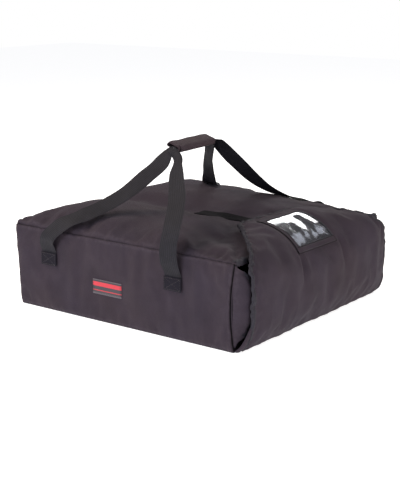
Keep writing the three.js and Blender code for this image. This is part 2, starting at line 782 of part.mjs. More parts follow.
// Places round the grip's section at a distance off its face. Stations 0 to 1 run down the
// half-round front from the flat top, 1 to 2 back along the flat underside.
function gripSectionPlace(station, off) {
  const turn = (Math.PI / 2) * (1 + 2 * Math.min(station, 1));
  const back = 2 * gripFlat * Math.max(station - 1, 0);
  return new THREE.Vector2(
    -gripFlat + back + (gripRadius + off) * Math.cos(turn), (gripRadius + off) * Math.sin(turn));
}

function addGripSheet(name, stations, innerOff, thickness, colour) {
  const length = gripLength - 2 * closureInset;
  const face = (lift) => (station, along) => {
    const place = gripSectionPlace(station, innerOff(station) + lift);
    return new THREE.Vector3(place.x, place.y, along);
  };
  const sheet = sheetBody(stations, [0, length], face(thickness), face(0));
  placeAlongGrip(addPiece(name, sheet, colour), length / 2);
}

function addGripClosure() {
  const end = 1 + closureEndShare;
  const tapeStations = [end - tapeWidth / (2 * gripFlat), end];
  const turnSteps = 12;
  const coverStations = [...spread(0, 1, turnSteps), 1, ...tapeStations];
  addGripSheet('grip_closure', coverStations,
    (station) => lerp(layerGap, closureStandOff, smooth(station)), closureThickness, 'cloth');
  const hookOff = closureStandOff - layerGap - tapeThickness;
  addGripSheet('grip_loop_tape', tapeStations, () => layerGap, tapeThickness, 'loop');
  addGripSheet('grip_hook_tape', tapeStations, () => hookOff, tapeThickness, 'hook');
}

function addLabel() {
  sidePlate('side_label', -1, labelWidth, labelHeight, labelThickness, labelCornerRadius,
    layerGap, labelY, labelZ, 'label');
}

addWalls();
addTop();
addFlap();
addHookStrip();
addPocketHalf('lower', lowerRows);
addPocketHalf('upper', upperRows);
addWing('left', -1);
addWing('right', 1);
addStraps();
addPatches();
addGrip();
addGripClosure();
addLabel();

export default bag;
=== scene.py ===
# Padded pizza delivery bag in charcoal cloth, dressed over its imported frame.
# Metres. +Z is up, the open front with its flap faces -Y, and the floor is at z = 0.
import math

import bmesh
import bpy
import numpy as np
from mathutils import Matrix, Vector


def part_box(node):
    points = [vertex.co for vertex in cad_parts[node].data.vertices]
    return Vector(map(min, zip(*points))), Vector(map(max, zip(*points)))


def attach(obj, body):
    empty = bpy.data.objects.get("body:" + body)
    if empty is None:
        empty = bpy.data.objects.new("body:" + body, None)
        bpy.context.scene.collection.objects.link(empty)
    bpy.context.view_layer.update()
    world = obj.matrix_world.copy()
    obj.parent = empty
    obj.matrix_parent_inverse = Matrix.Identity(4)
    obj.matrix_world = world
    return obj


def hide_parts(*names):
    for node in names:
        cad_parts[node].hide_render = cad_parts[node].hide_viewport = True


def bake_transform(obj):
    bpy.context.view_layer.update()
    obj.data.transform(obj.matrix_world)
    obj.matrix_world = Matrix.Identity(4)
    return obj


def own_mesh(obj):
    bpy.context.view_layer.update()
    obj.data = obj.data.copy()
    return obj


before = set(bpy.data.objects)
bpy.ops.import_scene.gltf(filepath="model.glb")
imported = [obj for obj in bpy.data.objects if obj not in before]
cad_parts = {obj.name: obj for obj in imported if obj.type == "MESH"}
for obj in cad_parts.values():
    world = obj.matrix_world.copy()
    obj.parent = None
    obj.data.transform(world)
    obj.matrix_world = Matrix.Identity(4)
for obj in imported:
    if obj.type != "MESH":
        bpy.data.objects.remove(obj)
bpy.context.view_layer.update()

# Camera: the photograph was taken from a little above the bag, off its front left corner. The
# place, the directions and the focal length were fitted to the bag's straight seams.
PICTURE_HEIGHT_PX = 483
FOCAL_PX = 1139.2
SENSOR_MM = 36
CAMERA_PLACE = (-1.8329, -1.3729, 0.6651)
CAMERA_DOWNWARD = 13.47
CAMERA_HEADING = 53.07

camera = bpy.data.objects.new("camera", bpy.data.cameras.new("camera"))
camera.data.sensor_width = SENSOR_MM
camera.data.lens = FOCAL_PX * SENSOR_MM / PICTURE_HEIGHT_PX
camera.data.clip_start = 0.05
camera.location = CAMERA_PLACE
camera.rotation_euler = (math.radians(90 - CAMERA_DOWNWARD), 0, math.radians(-CAMERA_HEADING))
bpy.context.collection.objects.link(camera)
bpy.context.scene.camera = camera

# Studio: a white floor that runs into white surroundings, with six large soft boxes round the bag.
# The world is white to the camera alone and lights the bag with a dim, cool grey. The floor glows
# a little, so that it stays white and still keeps the bag's shadow.
bpy.context.scene.view_settings.view_transform = "Standard"


def linear(hex_colour):
    """A shader colour from an sRGB hex string."""
    channels = [int(hex_colour[n:n + 2], 16) / 255 for n in (1, 3, 5)]
    return (*[c / 12.92 if c <= 0.04045 else ((c + 0.055) / 1.055) ** 2.4 for c in channels], 1)


def add_node(tree, kind, inputs=(), **settings):
    """Adds a shader node, sets its properties, and sets or links its inputs by name."""
    node = tree.nodes.new(kind)
    for key, value in settings.items():
        setattr(node, key, value)
    for key, value in dict(inputs).items():
        if isinstance(value, bpy.types.NodeSocket):
            tree.links.new(value, node.inputs[key])
        else:
            node.inputs[key].default_value = value
    return node


world = bpy.data.worlds.new("studio")
bpy.context.scene.world = world
world.use_nodes = True
sky = world.node_tree
sky.nodes.clear()
rays = add_node(sky, "ShaderNodeLightPath")
ambient = add_node(sky, "ShaderNodeBackground", {"Color": linear("#eef0f6"), "Strength": 0.3})
surround = add_node(sky, "ShaderNodeBackground", {"Color": linear("#ffffff"), "Strength": 1.0})
backdrop = add_node(sky, "ShaderNodeMixShader", {
    0: rays.outputs["Is Camera Ray"], 1: ambient.outputs[0], 2: surround.outputs[0]})
add_node(sky, "ShaderNodeOutputWorld", {"Surface": backdrop.outputs[0]})


def soft_box(name, place, aim, size, power, colour):
    """A rectangular lamp that shines from its place at its aim, unseen by the camera."""
    data = bpy.data.lights.new(name, "AREA")
    data.shape = "RECTANGLE"
    data.size, data.size_y = size
    data.energy = power
    data.color = linear(colour)[:3]
    light = bpy.data.objects.new(name, data)
    light.location = place
    light.rotation_euler = (Vector(aim) - Vector(place)).to_track_quat("-Z", "Y").to_euler()
    light.visible_camera = False
    bpy.context.collection.objects.link(light)


# Each lamp's place, aim and size in metres, its power in watts and its colour. The film card is
# the one that the pocket's film mirrors.
soft_box("top_box", (-0.9, 1.3, 1.9), (0, 0, 0.15), (1.5, 1.2), 47, "#fff0e2")
soft_box("left_box", (-2.5, 0.5, 0.9), (0, 0, 0.08), (1.3, 0.9), 24, "#e9edff")
soft_box("front_box", (0.5, -2.4, 1.0), (0, -0.1, 0.1), (1.5, 1.0), 29, "#fff3ea")
soft_box("right_box", (2.3, 0.7, 1.2), (0, -0.2, 0.15), (1.1, 0.68), 14, "#ffffff")
soft_box("film_card", (2.17, -0.62, 1.58), (0, -0.26, 0.17), (0.8, 0.5), 2.7, "#e0e6f4")
soft_box("fill_box", (-1.5, -1.9, 0.4), (0, -0.1, 0.3), (1.0, 0.8), 12, "#eceeff")

FLOOR_HALF = 6
FLOOR_DROP = 0.0006


def build_floor():
    """A matt white floor, a hair below the bag so that the two faces don't meet."""
    half = FLOOR_HALF
    mesh = bpy.data.meshes.new("floor")
    mesh.from_pydata(
        [(-half, -half, 0), (half, -half, 0), (half, half, 0), (-half, half, 0)], [], [(0, 1, 2, 3)])
    floor = bpy.data.objects.new("floor", mesh)
    floor.location.z = -FLOOR_DROP
    bpy.context.collection.objects.link(floor)
    material = bpy.data.materials.new("white_floor")
    material.use_nodes = True
    shader = material.node_tree.nodes["Principled BSDF"]
    shader.inputs["Base Color"].default_value = linear("#f7f7f7")
    shader.inputs["Roughness"].default_value = 0.95
    shader.inputs["Specular IOR Level"].default_value = 0.1
    shader.inputs["Emission Color"].default_value = linear("#ffffff")
    shader.inputs["Emission Strength"].default_value = 0.72
    mesh.materials.append(material)


build_floor()

# Body panels: the base, the back and the two sides. Each is an outer cloth of woven polyester, a
# layer of batting and a thin lining. They are stitched together inside out and turned, so that
# the cloth dives into every seam, puckers along it and swells between.
HALF_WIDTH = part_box("base_shell")[1][0] + 0.00025
HALF_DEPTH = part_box("back_shell")[1][1]
HEIGHT = 0.165
PANEL_DEPTH = HALF_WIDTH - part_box("right_lining")[0][0]
PADDING = 0.013
SEAM_DIP = 0.0032
SEAM_SOFTNESS = 0.0026
SEAM_SHADE_WIDTH = 0.0011
DEEP_SEAM_SHADE_WIDTH = 0.0022
PUCKER_SPACING = 0.017
GRID_STEP = 0.0035
SIDE_SWELL = 0.0032
BACK_SWELL = 0.0034
SETTLE_FRAMES = 14


def new_material(name):
    """A node material with its tree, its Principled shader, and an Object coordinate socket."""
    material = bpy.data.materials.new(name)
    material.use_nodes = True
    tree = material.node_tree
    shader = tree.nodes["Principled BSDF"]
    place = add_node(tree, "ShaderNodeTexCoord").outputs["Object"]
    return material, tree, shader, place


def blotch(tree, place, size_mm, low, high, detail=3.0):
    """Clouds or specks of about size_mm across, mapped from low to high."""
    noise = add_node(tree, "ShaderNodeTexNoise", {
        "Vector": place, "Scale": 1000 / size_mm, "Detail": detail})
    return add_node(tree, "ShaderNodeMapRange", {
        "Value": noise.outputs["Fac"], "From Min": 0.3, "From Max": 0.7,
        "To Min": low, "To Max": high}).outputs["Result"]


def wave_scale(pitch_mm):
    """The wave texture's scale that puts its bands one pitch apart, to within 2 %."""
    return 1000 / (math.pi * pitch_mm)


def woven_cloth(name, dyed, rubbed_and_lit, yarn_mm, sheen, roughness):
    """Plain-weave polyester in two sRGB colours, dyed and rubbed: crossing yarns and dye that is
    cloudy in shade and in hue. The mesh's wear and shade attribute says where the cloth is rubbed
    pale, partly as a painted highlight beside a seam, up to 1, and where it is painted dark as seam
    shade, down to -1."""
    material, tree, shader, place = new_material(name)
    uv = add_node(tree, "ShaderNodeUVMap").outputs["UV"]
    yarns = [add_node(tree, "ShaderNodeTexWave", {
        "Vector": uv, "Scale": wave_scale(yarn_mm), "Distortion": 1.2, "Detail": 1.0,
        "Detail Scale": 0.3}, bands_direction=axis).outputs["Fac"] for axis in ("X", "Y")]
    weave = add_node(tree, "ShaderNodeMath", {0: yarns[0], 1: yarns[1]}, operation="MULTIPLY")
    clouds = blotch(tree, place, 45.45, 0.9, 1.1)
    specks = blotch(tree, place, 1.111, 0.92, 1.08, 1.0)
    shade = add_node(tree, "ShaderNodeMath", {0: clouds, 1: specks}, operation="MULTIPLY")
    wear_and_shade = add_node(tree, "ShaderNodeAttribute", attribute_name="wear_and_shade").outputs["Fac"]
    # Painted seam shade: down in a seam the colour drops to 0.12 of itself.
    painted_seam_shade = add_node(tree, "ShaderNodeMapRange", {
        "Value": wear_and_shade, "From Min": -1.0, "From Max": 0.0, "To Min": 0.12}).outputs["Result"]
    dye_and_seam_shade = add_node(tree, "ShaderNodeMath", {
        0: shade.outputs[0], 1: painted_seam_shade}, operation="MULTIPLY").outputs[0]
    red, green, blue, alpha = linear(dyed)
    hue = add_node(tree, "ShaderNodeMix", {
        "Factor": blotch(tree, place, 111.1, 0.0, 1.0),
        "A": (0.98 * red, green, 1.05 * blue, alpha),
        "B": (1.025 * red, green, 0.96 * blue, alpha)}, data_type="RGBA").outputs["Result"]
    base = add_node(tree, "ShaderNodeVectorMath", {
        0: hue, "Scale": dye_and_seam_shade}, operation="SCALE").outputs["Vector"]
    # Pale beside the seams: rubbed, and partly a painted highlight.
    rubbed_and_lit_share = add_node(tree, "ShaderNodeMapRange", {"Value": wear_and_shade}).outputs["Result"]
    broken = add_node(tree, "ShaderNodeMath", {
        0: rubbed_and_lit_share, 1: blotch(tree, place, 6.25, 0.1, 1.0)}, operation="MULTIPLY").outputs[0]
    mixed = add_node(tree, "ShaderNodeMix", {
        "Factor": broken, "A": base, "B": linear(rubbed_and_lit)}, data_type="RGBA")
    tree.links.new(mixed.outputs["Result"], shader.inputs["Base Color"])
    relief = add_node(tree, "ShaderNodeMath", {
        0: weave.outputs[0], 1: blotch(tree, place, 3.846, 0.0, 1.0)}, operation="ADD")
    bump = add_node(tree, "ShaderNodeBump", {
        "Height": relief.outputs[0], "Strength": 0.25, "Distance": 0.0004})
    tree.links.new(bump.outputs["Normal"], shader.inputs["Normal"])
    shader.inputs["Roughness"].default_value = roughness
    shader.inputs["Sheen Weight"].default_value = sheen
    shader.inputs["Sheen Roughness"].default_value = 0.45
    shader.inputs["Specular IOR Level"].default_value = 0.1
    return material


# Outer cloth: charcoal polyester of about 600 denier, plain-woven and coated on its back. To the eye
# it is matt and soft, with cloudy dye, paler shoulders beside the seams that are rubbed and partly
# painted highlight, and seam lines painted dark as shade.
CLOTH = woven_cloth("charcoal_cloth", "#352e35", "#474047", yarn_mm=0.6, sheen=0.03, roughness=0.8)

# Lining: black polyester of finer yarn, woven closer, so a little smoother and darker.
LINING = woven_cloth("black_lining", "#1e1c1e", "#262426", yarn_mm=0.4, sheen=0.02, roughness=0.55)


def finish_mesh(mesh, uv, wear_and_shade=None, sharp=50):
    """Turns faces outward, shades them smooth up to an angle, and stores the UV map, and the wear and
    painted seam shade of the first points."""
    work = bmesh.new()
    work.from_mesh(mesh)
    bmesh.ops.recalc_face_normals(work, faces=work.faces)
    for edge in work.edges:
        edge.smooth = edge.calc_face_angle(0) < math.radians(sharp)
    work.to_mesh(mesh)
    work.free()
    layer = mesh.uv_layers.new(name="metres")
    corners = np.empty(len(mesh.loops), int)
    mesh.loops.foreach_get("vertex_index", corners)
    layer.data.foreach_set("uv", uv[corners].astype(np.float32).ravel())
    if wear_and_shade is not None:
        attribute = mesh.attributes.new("wear_and_shade", "FLOAT", "POINT")
        values = np.zeros(len(mesh.vertices), np.float32)
        values[:wear_and_shade.size] = wear_and_shade.ravel()
        attribute.data.foreach_set("value", values)
    mesh.polygons.foreach_set("use_smooth", np.ones(len(mesh.polygons), bool))
    piece = bpy.data.objects.new(mesh.name, mesh)
    bpy.context.collection.objects.link(piece)
    return piece


def grid_quads(number):
    """Faces between the neighbours of a grid of point numbers."""
    corners = [number[:-1, :-1], number[1:, :-1], number[1:, 1:], number[:-1, 1:]]
    return np.stack(corners, -1).reshape(-1, 4)


def closed_sheet(name, front, back, uv, materials, wear_and_shade=None):
    """A closed body between two grids of points, front and back, with its rim. uv is a grid of metres
    over the sheet; the wear and shade grid, if given, runs from -1, painted seam shade, to 1, rubbed
    pale and partly painted highlight."""
    columns, rows = front.shape[:2]
    count = columns * rows
    points = np.concatenate([front.reshape(-1, 3), back.reshape(-1, 3)])
    number = np.arange(count).reshape(columns, rows)
    quads = grid_quads(number)
    border = np.concatenate([
        number[:-1, 0], number[-1, :-1], number[:0:-1, -1], number[0, :0:-1]])
    following = np.roll(border, -1)
    rim = np.stack([following, border, border + count, following + count], -1)
    faces = np.concatenate([quads, quads[:, ::-1] + count, rim])
    mesh = bpy.data.meshes.new(name)
    mesh.from_pydata(points.tolist(), [], faces.tolist())
    for material in materials:
        mesh.materials.append(material)
    mesh.polygons.foreach_set("material_index", np.concatenate([
        np.zeros(len(quads), int), np.full(len(quads), len(materials) - 1), np.zeros(len(rim), int)]))
    return finish_mesh(mesh, np.concatenate([uv.reshape(-1, 2)] * 2), wear_and_shade)


def wander(u, v, wavelength, seed, stretch=1.0):
    """Smooth seeded unevenness of about -1 to 1; stretch lengthens it along v."""
    dice = np.random.default_rng(seed)
    total = np.zeros(np.broadcast(u, v).shape)
    for _ in range(8):
        heading = dice.uniform(0, 2 * math.pi)
        pitch = 2 * math.pi / (wavelength * dice.uniform(0.65, 1.5))
        phase = dice.uniform(0, 2 * math.pi)
        total += np.sin(pitch * (u * math.cos(heading) + v * math.sin(heading) / stretch) + phase)
    return total / 4


def ramp(value, start=0.0, end=1.0):
    """The share of the way from start to end, from 0 to 1."""
    return np.clip((value - start) / (end - start), 0, 1)


def smooth(value, start=0.0, end=1.0):
    """The same share, eased at both ends."""
    share = ramp(value, start, end)
    return share * share * (3 - 2 * share)


def stacked(*grids):
    """Grids of coordinates as one grid of places."""
    return np.stack(np.broadcast_arrays(*grids), -1)


def even_steps(length, step):
    """Shares from 0 to 1 that divide a length into steps of about this size."""
    return np.linspace(0, 1, round(length / step) + 1)


def eased(share, crowd=0.75):
    """Grid shares crowded toward both ends, where the seams need finer rows."""
    return (1 - crowd) * share + crowd * (0.5 - 0.5 * np.cos(math.pi * share))


def row_weights(count, kept):
    """Weights that carry values at the kept places of a row to all of its places."""
    return np.stack([np.interp(np.arange(count), kept, line) for line in np.eye(len(kept))], -1)


def settled(points, held, slack, bending, reach, every=2):
    """How far each point of a grid moves when its cloth settles: it is cut a little too large,
    blown out, and creases between its seams. held is 1 where it is sewn down, slack the share it
    is too large by, and reach the most that a point may move. The simulation's grid has one point
    for every so many of the mesh's."""
    columns, rows = points.shape[:2]
    kept = [np.unique(np.linspace(0, count - 1, count // every + 1).round())
            for count in (columns, rows)]
    sample = np.ix_(*[places.astype(int) for places in kept])
    coarse, hold = points[sample], (held * np.ones((columns, rows)))[sample]
    quads = grid_quads(np.arange(hold.size).reshape(hold.shape))
    mesh = bpy.data.meshes.new("settling")
    mesh.from_pydata(coarse.reshape(-1, 3).tolist(), [], quads.tolist())
    sheet = bpy.data.objects.new("settling", mesh)
    bpy.context.collection.objects.link(sheet)
    pins = sheet.vertex_groups.new(name="held")
    for index, weight in enumerate(hold.ravel()):
        pins.add([index], float(weight), "REPLACE")
    cloth = sheet.modifiers.new("cloth", "CLOTH")
    rules = cloth.settings
    rules.quality = 5
    rules.mass = 0.2
    rules.air_damping = 3
    rules.tension_stiffness = rules.compression_stiffness = 15
    rules.shear_stiffness = 5
    rules.bending_stiffness = bending
    rules.vertex_group_mass = "held"
    rules.pin_stiffness = 0.5
    rules.use_pressure = True
    rules.uniform_pressure_force = 0.5
    rules.shrink_min = -slack
    rules.effector_weights.gravity = 0
    cloth.point_cache.frame_end = SETTLE_FRAMES
    for step in range(1, SETTLE_FRAMES + 1):
        bpy.context.scene.frame_set(step)
    result = np.empty(hold.size * 3)
    shaped = sheet.evaluated_get(bpy.context.evaluated_depsgraph_get())
    shaped.data.vertices.foreach_get("co", result)
    bpy.context.scene.frame_set(1)
    bpy.data.objects.remove(sheet)
    bpy.data.meshes.remove(mesh)
    move = result.reshape(coarse.shape) - coarse
    size = np.linalg.norm(move, axis=-1, keepdims=True) + 1e-9
    move = move / size * reach * np.tanh(size / reach)
    across, along = row_weights(columns, kept[0]), row_weights(rows, kept[1])
    move = np.einsum("ca,abk,rb->crk", across, move, along)
    for axis in (0, 1):
        inner = [slice(None), slice(None)]
        inner[axis] = slice(1, -1)
        blurred = (np.roll(move, 1, axis) + 2 * move + np.roll(move, -1, axis)) / 4
        move[tuple(inner)] = blurred[tuple(inner)]
    return move


def dip(distance):
    """How deep the cloth sinks at a distance from its seam."""
    return SEAM_DIP * np.exp(-distance / SEAM_SOFTNESS)


def stuffed_corner(points):
    """Pushes the body's rear left corner out and up, where its padding fills it tight."""
    x, y, z = np.moveaxis(points, -1, 0)
    share = smooth(y, 0.2, HALF_DEPTH) * smooth(-x, 0.17, HALF_WIDTH) * ramp(z / HEIGHT) ** 1.3
    return points + share[..., None] * np.array([-0.003, 0.0075, 0.002])


def seam_shade_and_wear(distance):
    """Painted shade down in the seam's groove, and rubbed pale on the shoulder beside it, partly as a
    painted highlight.
    """
    rubbed_and_lit = 0.5 * np.exp(-((distance - 0.0055) / 0.003) ** 2)
    return rubbed_and_lit - 0.8 * np.exp(-(distance / SEAM_SHADE_WIDTH) ** 2)


def seam_puckers(along, distance, seed, height=0.0011, reach=0.02):
    """Small gathers that start at a seam and fade into the panel."""
    gather = wander(along, along * 0, PUCKER_SPACING, seed) + 0.5 * wander(
        along, distance, PUCKER_SPACING * 2.3, seed + 1)
    return height * gather * (1 - np.exp(-distance / 0.003)) * np.exp(-distance / reach)


def held_flat(along, up, pins):
    """0 over the boxes that are sewn down, rising to 1 away from them."""
    free = np.ones(np.broadcast(along, up).shape)
    for centre_along, centre_up, half_along, half_up in pins:
        gap = np.hypot(np.maximum(np.abs(along - centre_along) - half_along, 0),
                       np.maximum(np.abs(up - centre_up) - half_up, 0))
        free = np.minimum(free, 1 - np.exp(-(gap / 0.014) ** 2))
    return free


def front_recess(z):
    """How far the bulging wings push back the side panels' front seams."""
    return 0.0085 * np.sin(math.pi * ramp(z, 0.004, 0.157))


def layers(name):
    """The names of a quilted panel's three solids."""
    return [f"{name}_shell", f"{name}_padding", f"{name}_lining"]


def wall_panel(name, length, height, place, swell, seed, replaced, pins=(), recess=0.0):
    """A pad on a flat wall. place(along, up, out) puts metres along and up the wall, and metres
    out of its face, into the frame. recess, 0 or 1, draws in the edge where along is 0."""
    along = eased(even_steps(length, GRID_STEP))[:, None] * length
    up = eased(even_steps(height, GRID_STEP))[None, :] * height
    ends = np.minimum(along, length - along)
    edges = np.minimum(up, height - up)
    nearest = np.minimum(ends, edges)
    inside = 1 - np.exp(-nearest / 0.02)
    grooved = np.minimum(np.minimum(ends, height - up), up + 0.004)
    out = swell * (1 - np.exp(-nearest / 0.03)) - dip(grooved)
    full_end = 0.0042 * np.exp(-((ends - 0.008) / 0.02) ** 2) * (1 - np.exp(-ends / 0.0025))
    out = out + full_end * (1 - np.exp(-edges / 0.006))
    out = out + seam_puckers(along, up, seed) + seam_puckers(along, height - up, seed + 2)
    out = out + seam_puckers(up, ends, seed + 4, height=0.0007)
    out = out + 0.0014 * inside * wander(along, up, 0.11, seed + 6, stretch=1.8)
    out = out + 0.0004 * inside * wander(along, up, 0.035, seed + 7, stretch=2.5)
    out = np.where(out > 0, out * held_flat(along, up, pins), out)
    pulled = recess * front_recess(up) * np.exp(-along / 0.014)
    front = place(along + 0.5 * dip(along) + pulled - 0.5 * dip(length - along),
                  up + 0.1 * dip(up) - 0.6 * dip(height - up), out)
    if swell:
        held = np.maximum(np.where(nearest < 0.001, 1, 0.04), 1 - held_flat(along, up, pins))
        front = front + settled(
            front, held, slack=0.015, bending=2, reach=0.0034, every=1)
    inner_along = PANEL_DEPTH + (length - 2 * PANEL_DEPTH) * (along / length)
    inner_up = PANEL_DEPTH + (height - 2 * PANEL_DEPTH) * (up / height)
    back = place(inner_along, inner_up, -PANEL_DEPTH - 0.001 * inside)
    uv = stacked(along, up)
    # Painted shade down every seam, and on the sides deeper still along the front seam; pale rubbed
    # shoulders beside the seams, partly painted highlight.
    wear_and_shade = seam_shade_and_wear(nearest) - recess * np.exp(-(along / DEEP_SEAM_SHADE_WIDTH) ** 2)
    pad = closed_sheet(name, stuffed_corner(front), stuffed_corner(back), uv, [CLOTH, LINING],
                       wear_and_shade * np.ones(front.shape[:2]))
    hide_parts(*replaced)
    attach(pad, "bag")


def side_place(side):
    """Puts a side panel in place: along runs back from its front edge."""
    return lambda along, up, out: stacked(side * (HALF_WIDTH + out), along - HALF_DEPTH, up)


def pin(node):
    """The box of a side panel that a patch or label holds flat: its middle and its half sizes."""
    low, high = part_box(node)
    return ((low[1] + high[1]) / 2 + HALF_DEPTH, (low[2] + high[2]) / 2,
            (high[1] - low[1]) / 2, (high[2] - low[2]) / 2)


def build_walls():
    """The sides, the back and the base, which lies flat on the floor but for its seams."""
    for side_name, side, seed in (("left", -1, 10), ("right", 1, 30)):
        pins = [pin(f"strap_patch_{place}_{side_name}") for place in ("rear", "front")]
        if side_name == "left":
            pins.append(pin("side_label"))
        wall_panel(f"{side_name}_panel", 2 * HALF_DEPTH, HEIGHT, side_place(side), SIDE_SWELL,
                   seed, layers(side_name), pins, recess=1)
    wall_panel(
        "back_panel", 2 * HALF_WIDTH, HEIGHT,
        lambda along, up, out: stacked(along - HALF_WIDTH, HALF_DEPTH + out, up),
        BACK_SWELL, 50, layers("back"))
    wall_panel(
        "base_panel", 2 * HALF_WIDTH, 2 * HALF_DEPTH,
        lambda along, up, out: stacked(along - HALF_WIDTH, up - HALF_DEPTH, np.maximum(-out, 0.0)),
        0.0, 70, layers("base"))


build_walls()

# Top panel: the same quilt cut wide and stuffed full, so that it stands as a soft pillow of two
# lobes with a valley under the loop strip. It is sewn to the sides and the back, and its front
# edge is free, bound with tape, and sags between the corners.

# Rises over the walls' height, and how far the front edge sags, lies back and rolls over.
VALLEY_RISE = 0.0112
LOBE_RISE = 0.014
BACK_RISE = 0.006
VALLEY_WIDTH = 0.06
LOOP_BACK_Y = 0.006
FRONT_SAG = 0.015
FRONT_SETBACK = 0.0165
FRONT_ROLL = 0.023
TAPE_REACH = 0.012
TOP_GRID_STEP = 0.004


def top_front(across):
    """The y of the top's front edge, which lies back in the middle. across runs from -1 to 1."""
    return -HALF_DEPTH + FRONT_SETBACK * (1 - across ** 2)


def top_crown(across, from_front):
    """Height of the smooth top over the wall's height, as the frame's top panel has it."""
    share = ramp(from_front / (HALF_DEPTH - top_front(across)))
    roll = np.exp(-from_front / FRONT_ROLL)
    valley = 1 - np.exp(-(across * HALF_WIDTH / VALLEY_WIDTH) ** 2)
    lobe = LOBE_RISE * smooth(share, 0.15, 0.4) + BACK_RISE * smooth(share, 0.45, 0.85)
    crown = VALLEY_RISE * (1 - roll) + lobe * valley
    rise = crown * (1 - share ** 12) * (1 - np.abs(across) ** 6)
    return rise - FRONT_SAG * roll * smooth(1 - np.abs(across), 0.04, 0.6)


def top_fullness(x, y):
    """How much fuller the stuffed top stands than its plain crown."""
    from_side = HALF_WIDTH - np.abs(x)
    from_back = HALF_DEPTH - y
    lobe = 1 - np.exp(-(x / 0.05) ** 2)
    rise = 0.0015 * smooth(y, 0.0, 0.2) * (1 - np.exp(-from_back / 0.008))
    rise = rise + 0.0045 * lobe * smooth(y, -0.22, -0.12) * np.exp(-(from_side / 0.11) ** 2)
    rise = rise - 0.005 * smooth(x, 0.1, 0.2) * (1 - smooth(y, -0.1, 0.0))
    return rise * (1 - np.exp(-from_side / 0.009))


def crests(waves):
    """Narrow ridges along the zero lines of some waves."""
    return np.clip(1 - np.abs(waves), 0, 1) ** 3


def top_folds(x, y, nearest):
    """Creases that run in slantwise from the side seams, a fan of folds at each front corner, and
    soft unevenness between."""
    slant = wander(y + 0.8 * np.abs(x), np.abs(x) * 0.35, 0.036, 91)
    inside = 1 - np.exp(-nearest / 0.008)
    run = HALF_WIDTH - np.abs(x)
    fan_x, fan_y = run + 0.008, y + HALF_DEPTH + 0.012
    reach = np.hypot(fan_x, fan_y)
    fan = np.sin(15 * np.arctan2(fan_y, fan_x) + 2.2 * wander(x, y, 0.12, 98))
    fan = fan * smooth(reach, 0.02, 0.06) * np.exp(-reach / 0.085)
    ridges = crests(wander(y + 0.9 * np.abs(x), np.abs(x) * 0.25, 0.045, 99))
    ridges = 0.0014 * ridges * smooth(run, 0.002, 0.02) * np.exp(-run / 0.06)
    return inside * (ridges + 0.0026 * slant * np.exp(-run / 0.055) + 0.0042 * fan
                     + 0.0016 * wander(x, y, 0.15, 92) + 0.0006 * wander(x, y, 0.045, 93))


def build_top():
    """The top over a grid that is crowded toward its seams, with its cloth settled."""
    across = (eased(even_steps(2 * HALF_WIDTH, TOP_GRID_STEP), crowd=0.6) * 2 - 1)[:, None]
    share = eased(even_steps(2 * HALF_DEPTH, TOP_GRID_STEP), crowd=0.5)[None, :]
    length = HALF_DEPTH - top_front(across)
    from_front = share * length
    x = across * HALF_WIDTH
    y = top_front(across) + from_front
    from_side = HALF_WIDTH - np.abs(x)
    from_back = HALF_DEPTH - y
    nearest = np.minimum(from_side, from_back)
    pinch = smooth(from_front, 0, TAPE_REACH + 0.02)
    z = HEIGHT + top_crown(across, from_front) + top_fullness(x, y) - dip(nearest)
    creases = top_folds(x, y, np.minimum(nearest, from_front))
    creases = creases + seam_puckers(y, from_side, 94, height=0.0022, reach=0.03)
    creases = creases + seam_puckers(x, from_back, 96, height=0.0018)
    z = z + creases * pinch
    front = stacked(x - np.sign(x) * dip(from_side), y - dip(from_back), z)
    under_flap = smooth(0.1 + 1.1 * (-0.155 - y) - np.abs(x), -0.03, 0.0)
    under_strip = 1 - smooth(y, LOOP_BACK_Y, LOOP_BACK_Y + 0.01)
    under_strip = under_strip * (1 - smooth(np.abs(x), 0.02, 0.028))
    sewn = np.minimum(nearest, from_front) < 0.001
    held = np.maximum(np.maximum(under_flap, under_strip), np.where(sewn, 1, 0.03))
    front = front + settled(front, held, slack=0.024, bending=10, reach=0.005)
    inner_x = across * (HALF_WIDTH - PANEL_DEPTH)
    inner_y = top_front(across) + share * (length - PANEL_DEPTH)
    thickness = PANEL_DEPTH - 0.6 * PADDING * (1 - pinch)
    inner_z = HEIGHT + top_crown(inner_x / HALF_WIDTH, inner_y - top_front(inner_x / HALF_WIDTH))
    back = stacked(inner_x, inner_y, inner_z - thickness)
    uv = stacked(x, y)
    # Painted shade down the seams to the sides and back, with rubbed shoulders partly painted as
    # highlight.
    wear_and_shade = seam_shade_and_wear(nearest) * np.ones(front.shape[:2])
    pad = closed_sheet("top_panel", stuffed_corner(front), stuffed_corner(back), uv,
                       [CLOTH, LINING], wear_and_shade)
    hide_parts(*layers("top"))
    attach(pad, "bag")


build_top()

# Front flap: one quilted piece sewn to the base's front edge. It comes up over the opening, bends
# over the top's front and ends on the loop strip, padded full in the middle and pinched thin
# where tape binds it. Its pattern runs x across and s up from the foot.

# The foot is tucked back, and the bend is a quarter of an oval whose centre lies back and down
# from the body's top front edge. The full stack is the flap's thickness where it is fullest.
FLAP_HALF_WIDTH = HALF_WIDTH - 0.0185
FLAP_END_SHARE = 0.38
BEND_SETBACK = 0.0915
BEND_DROP = 0.07
FULL_STACK = 0.0152
BEND_DEPTH = BEND_SETBACK + 0.0337 - FULL_STACK / 2
BEND_HEIGHT = BEND_DROP + 0.032 - FULL_STACK / 2
BEND_START = HEIGHT - BEND_DROP
FLAP_BOTTOM = 0.0016
FLAP_TUCK = 0.0236
FLAP_TAIL = 0.02
FLOOR_CLEARANCE = 0.0004
CLOTH_LAYERS = 0.0022
SLOPE_REACH = 0.006
FLAP_STEP_ACROSS = 0.003
FLAP_STEP_UP = 0.0028
TAPE_SHOWN = 0.0065
TOE_HEIGHT = 0.048
TOE_WIDTH = 0.0168
TOE_HALF = 0.0012


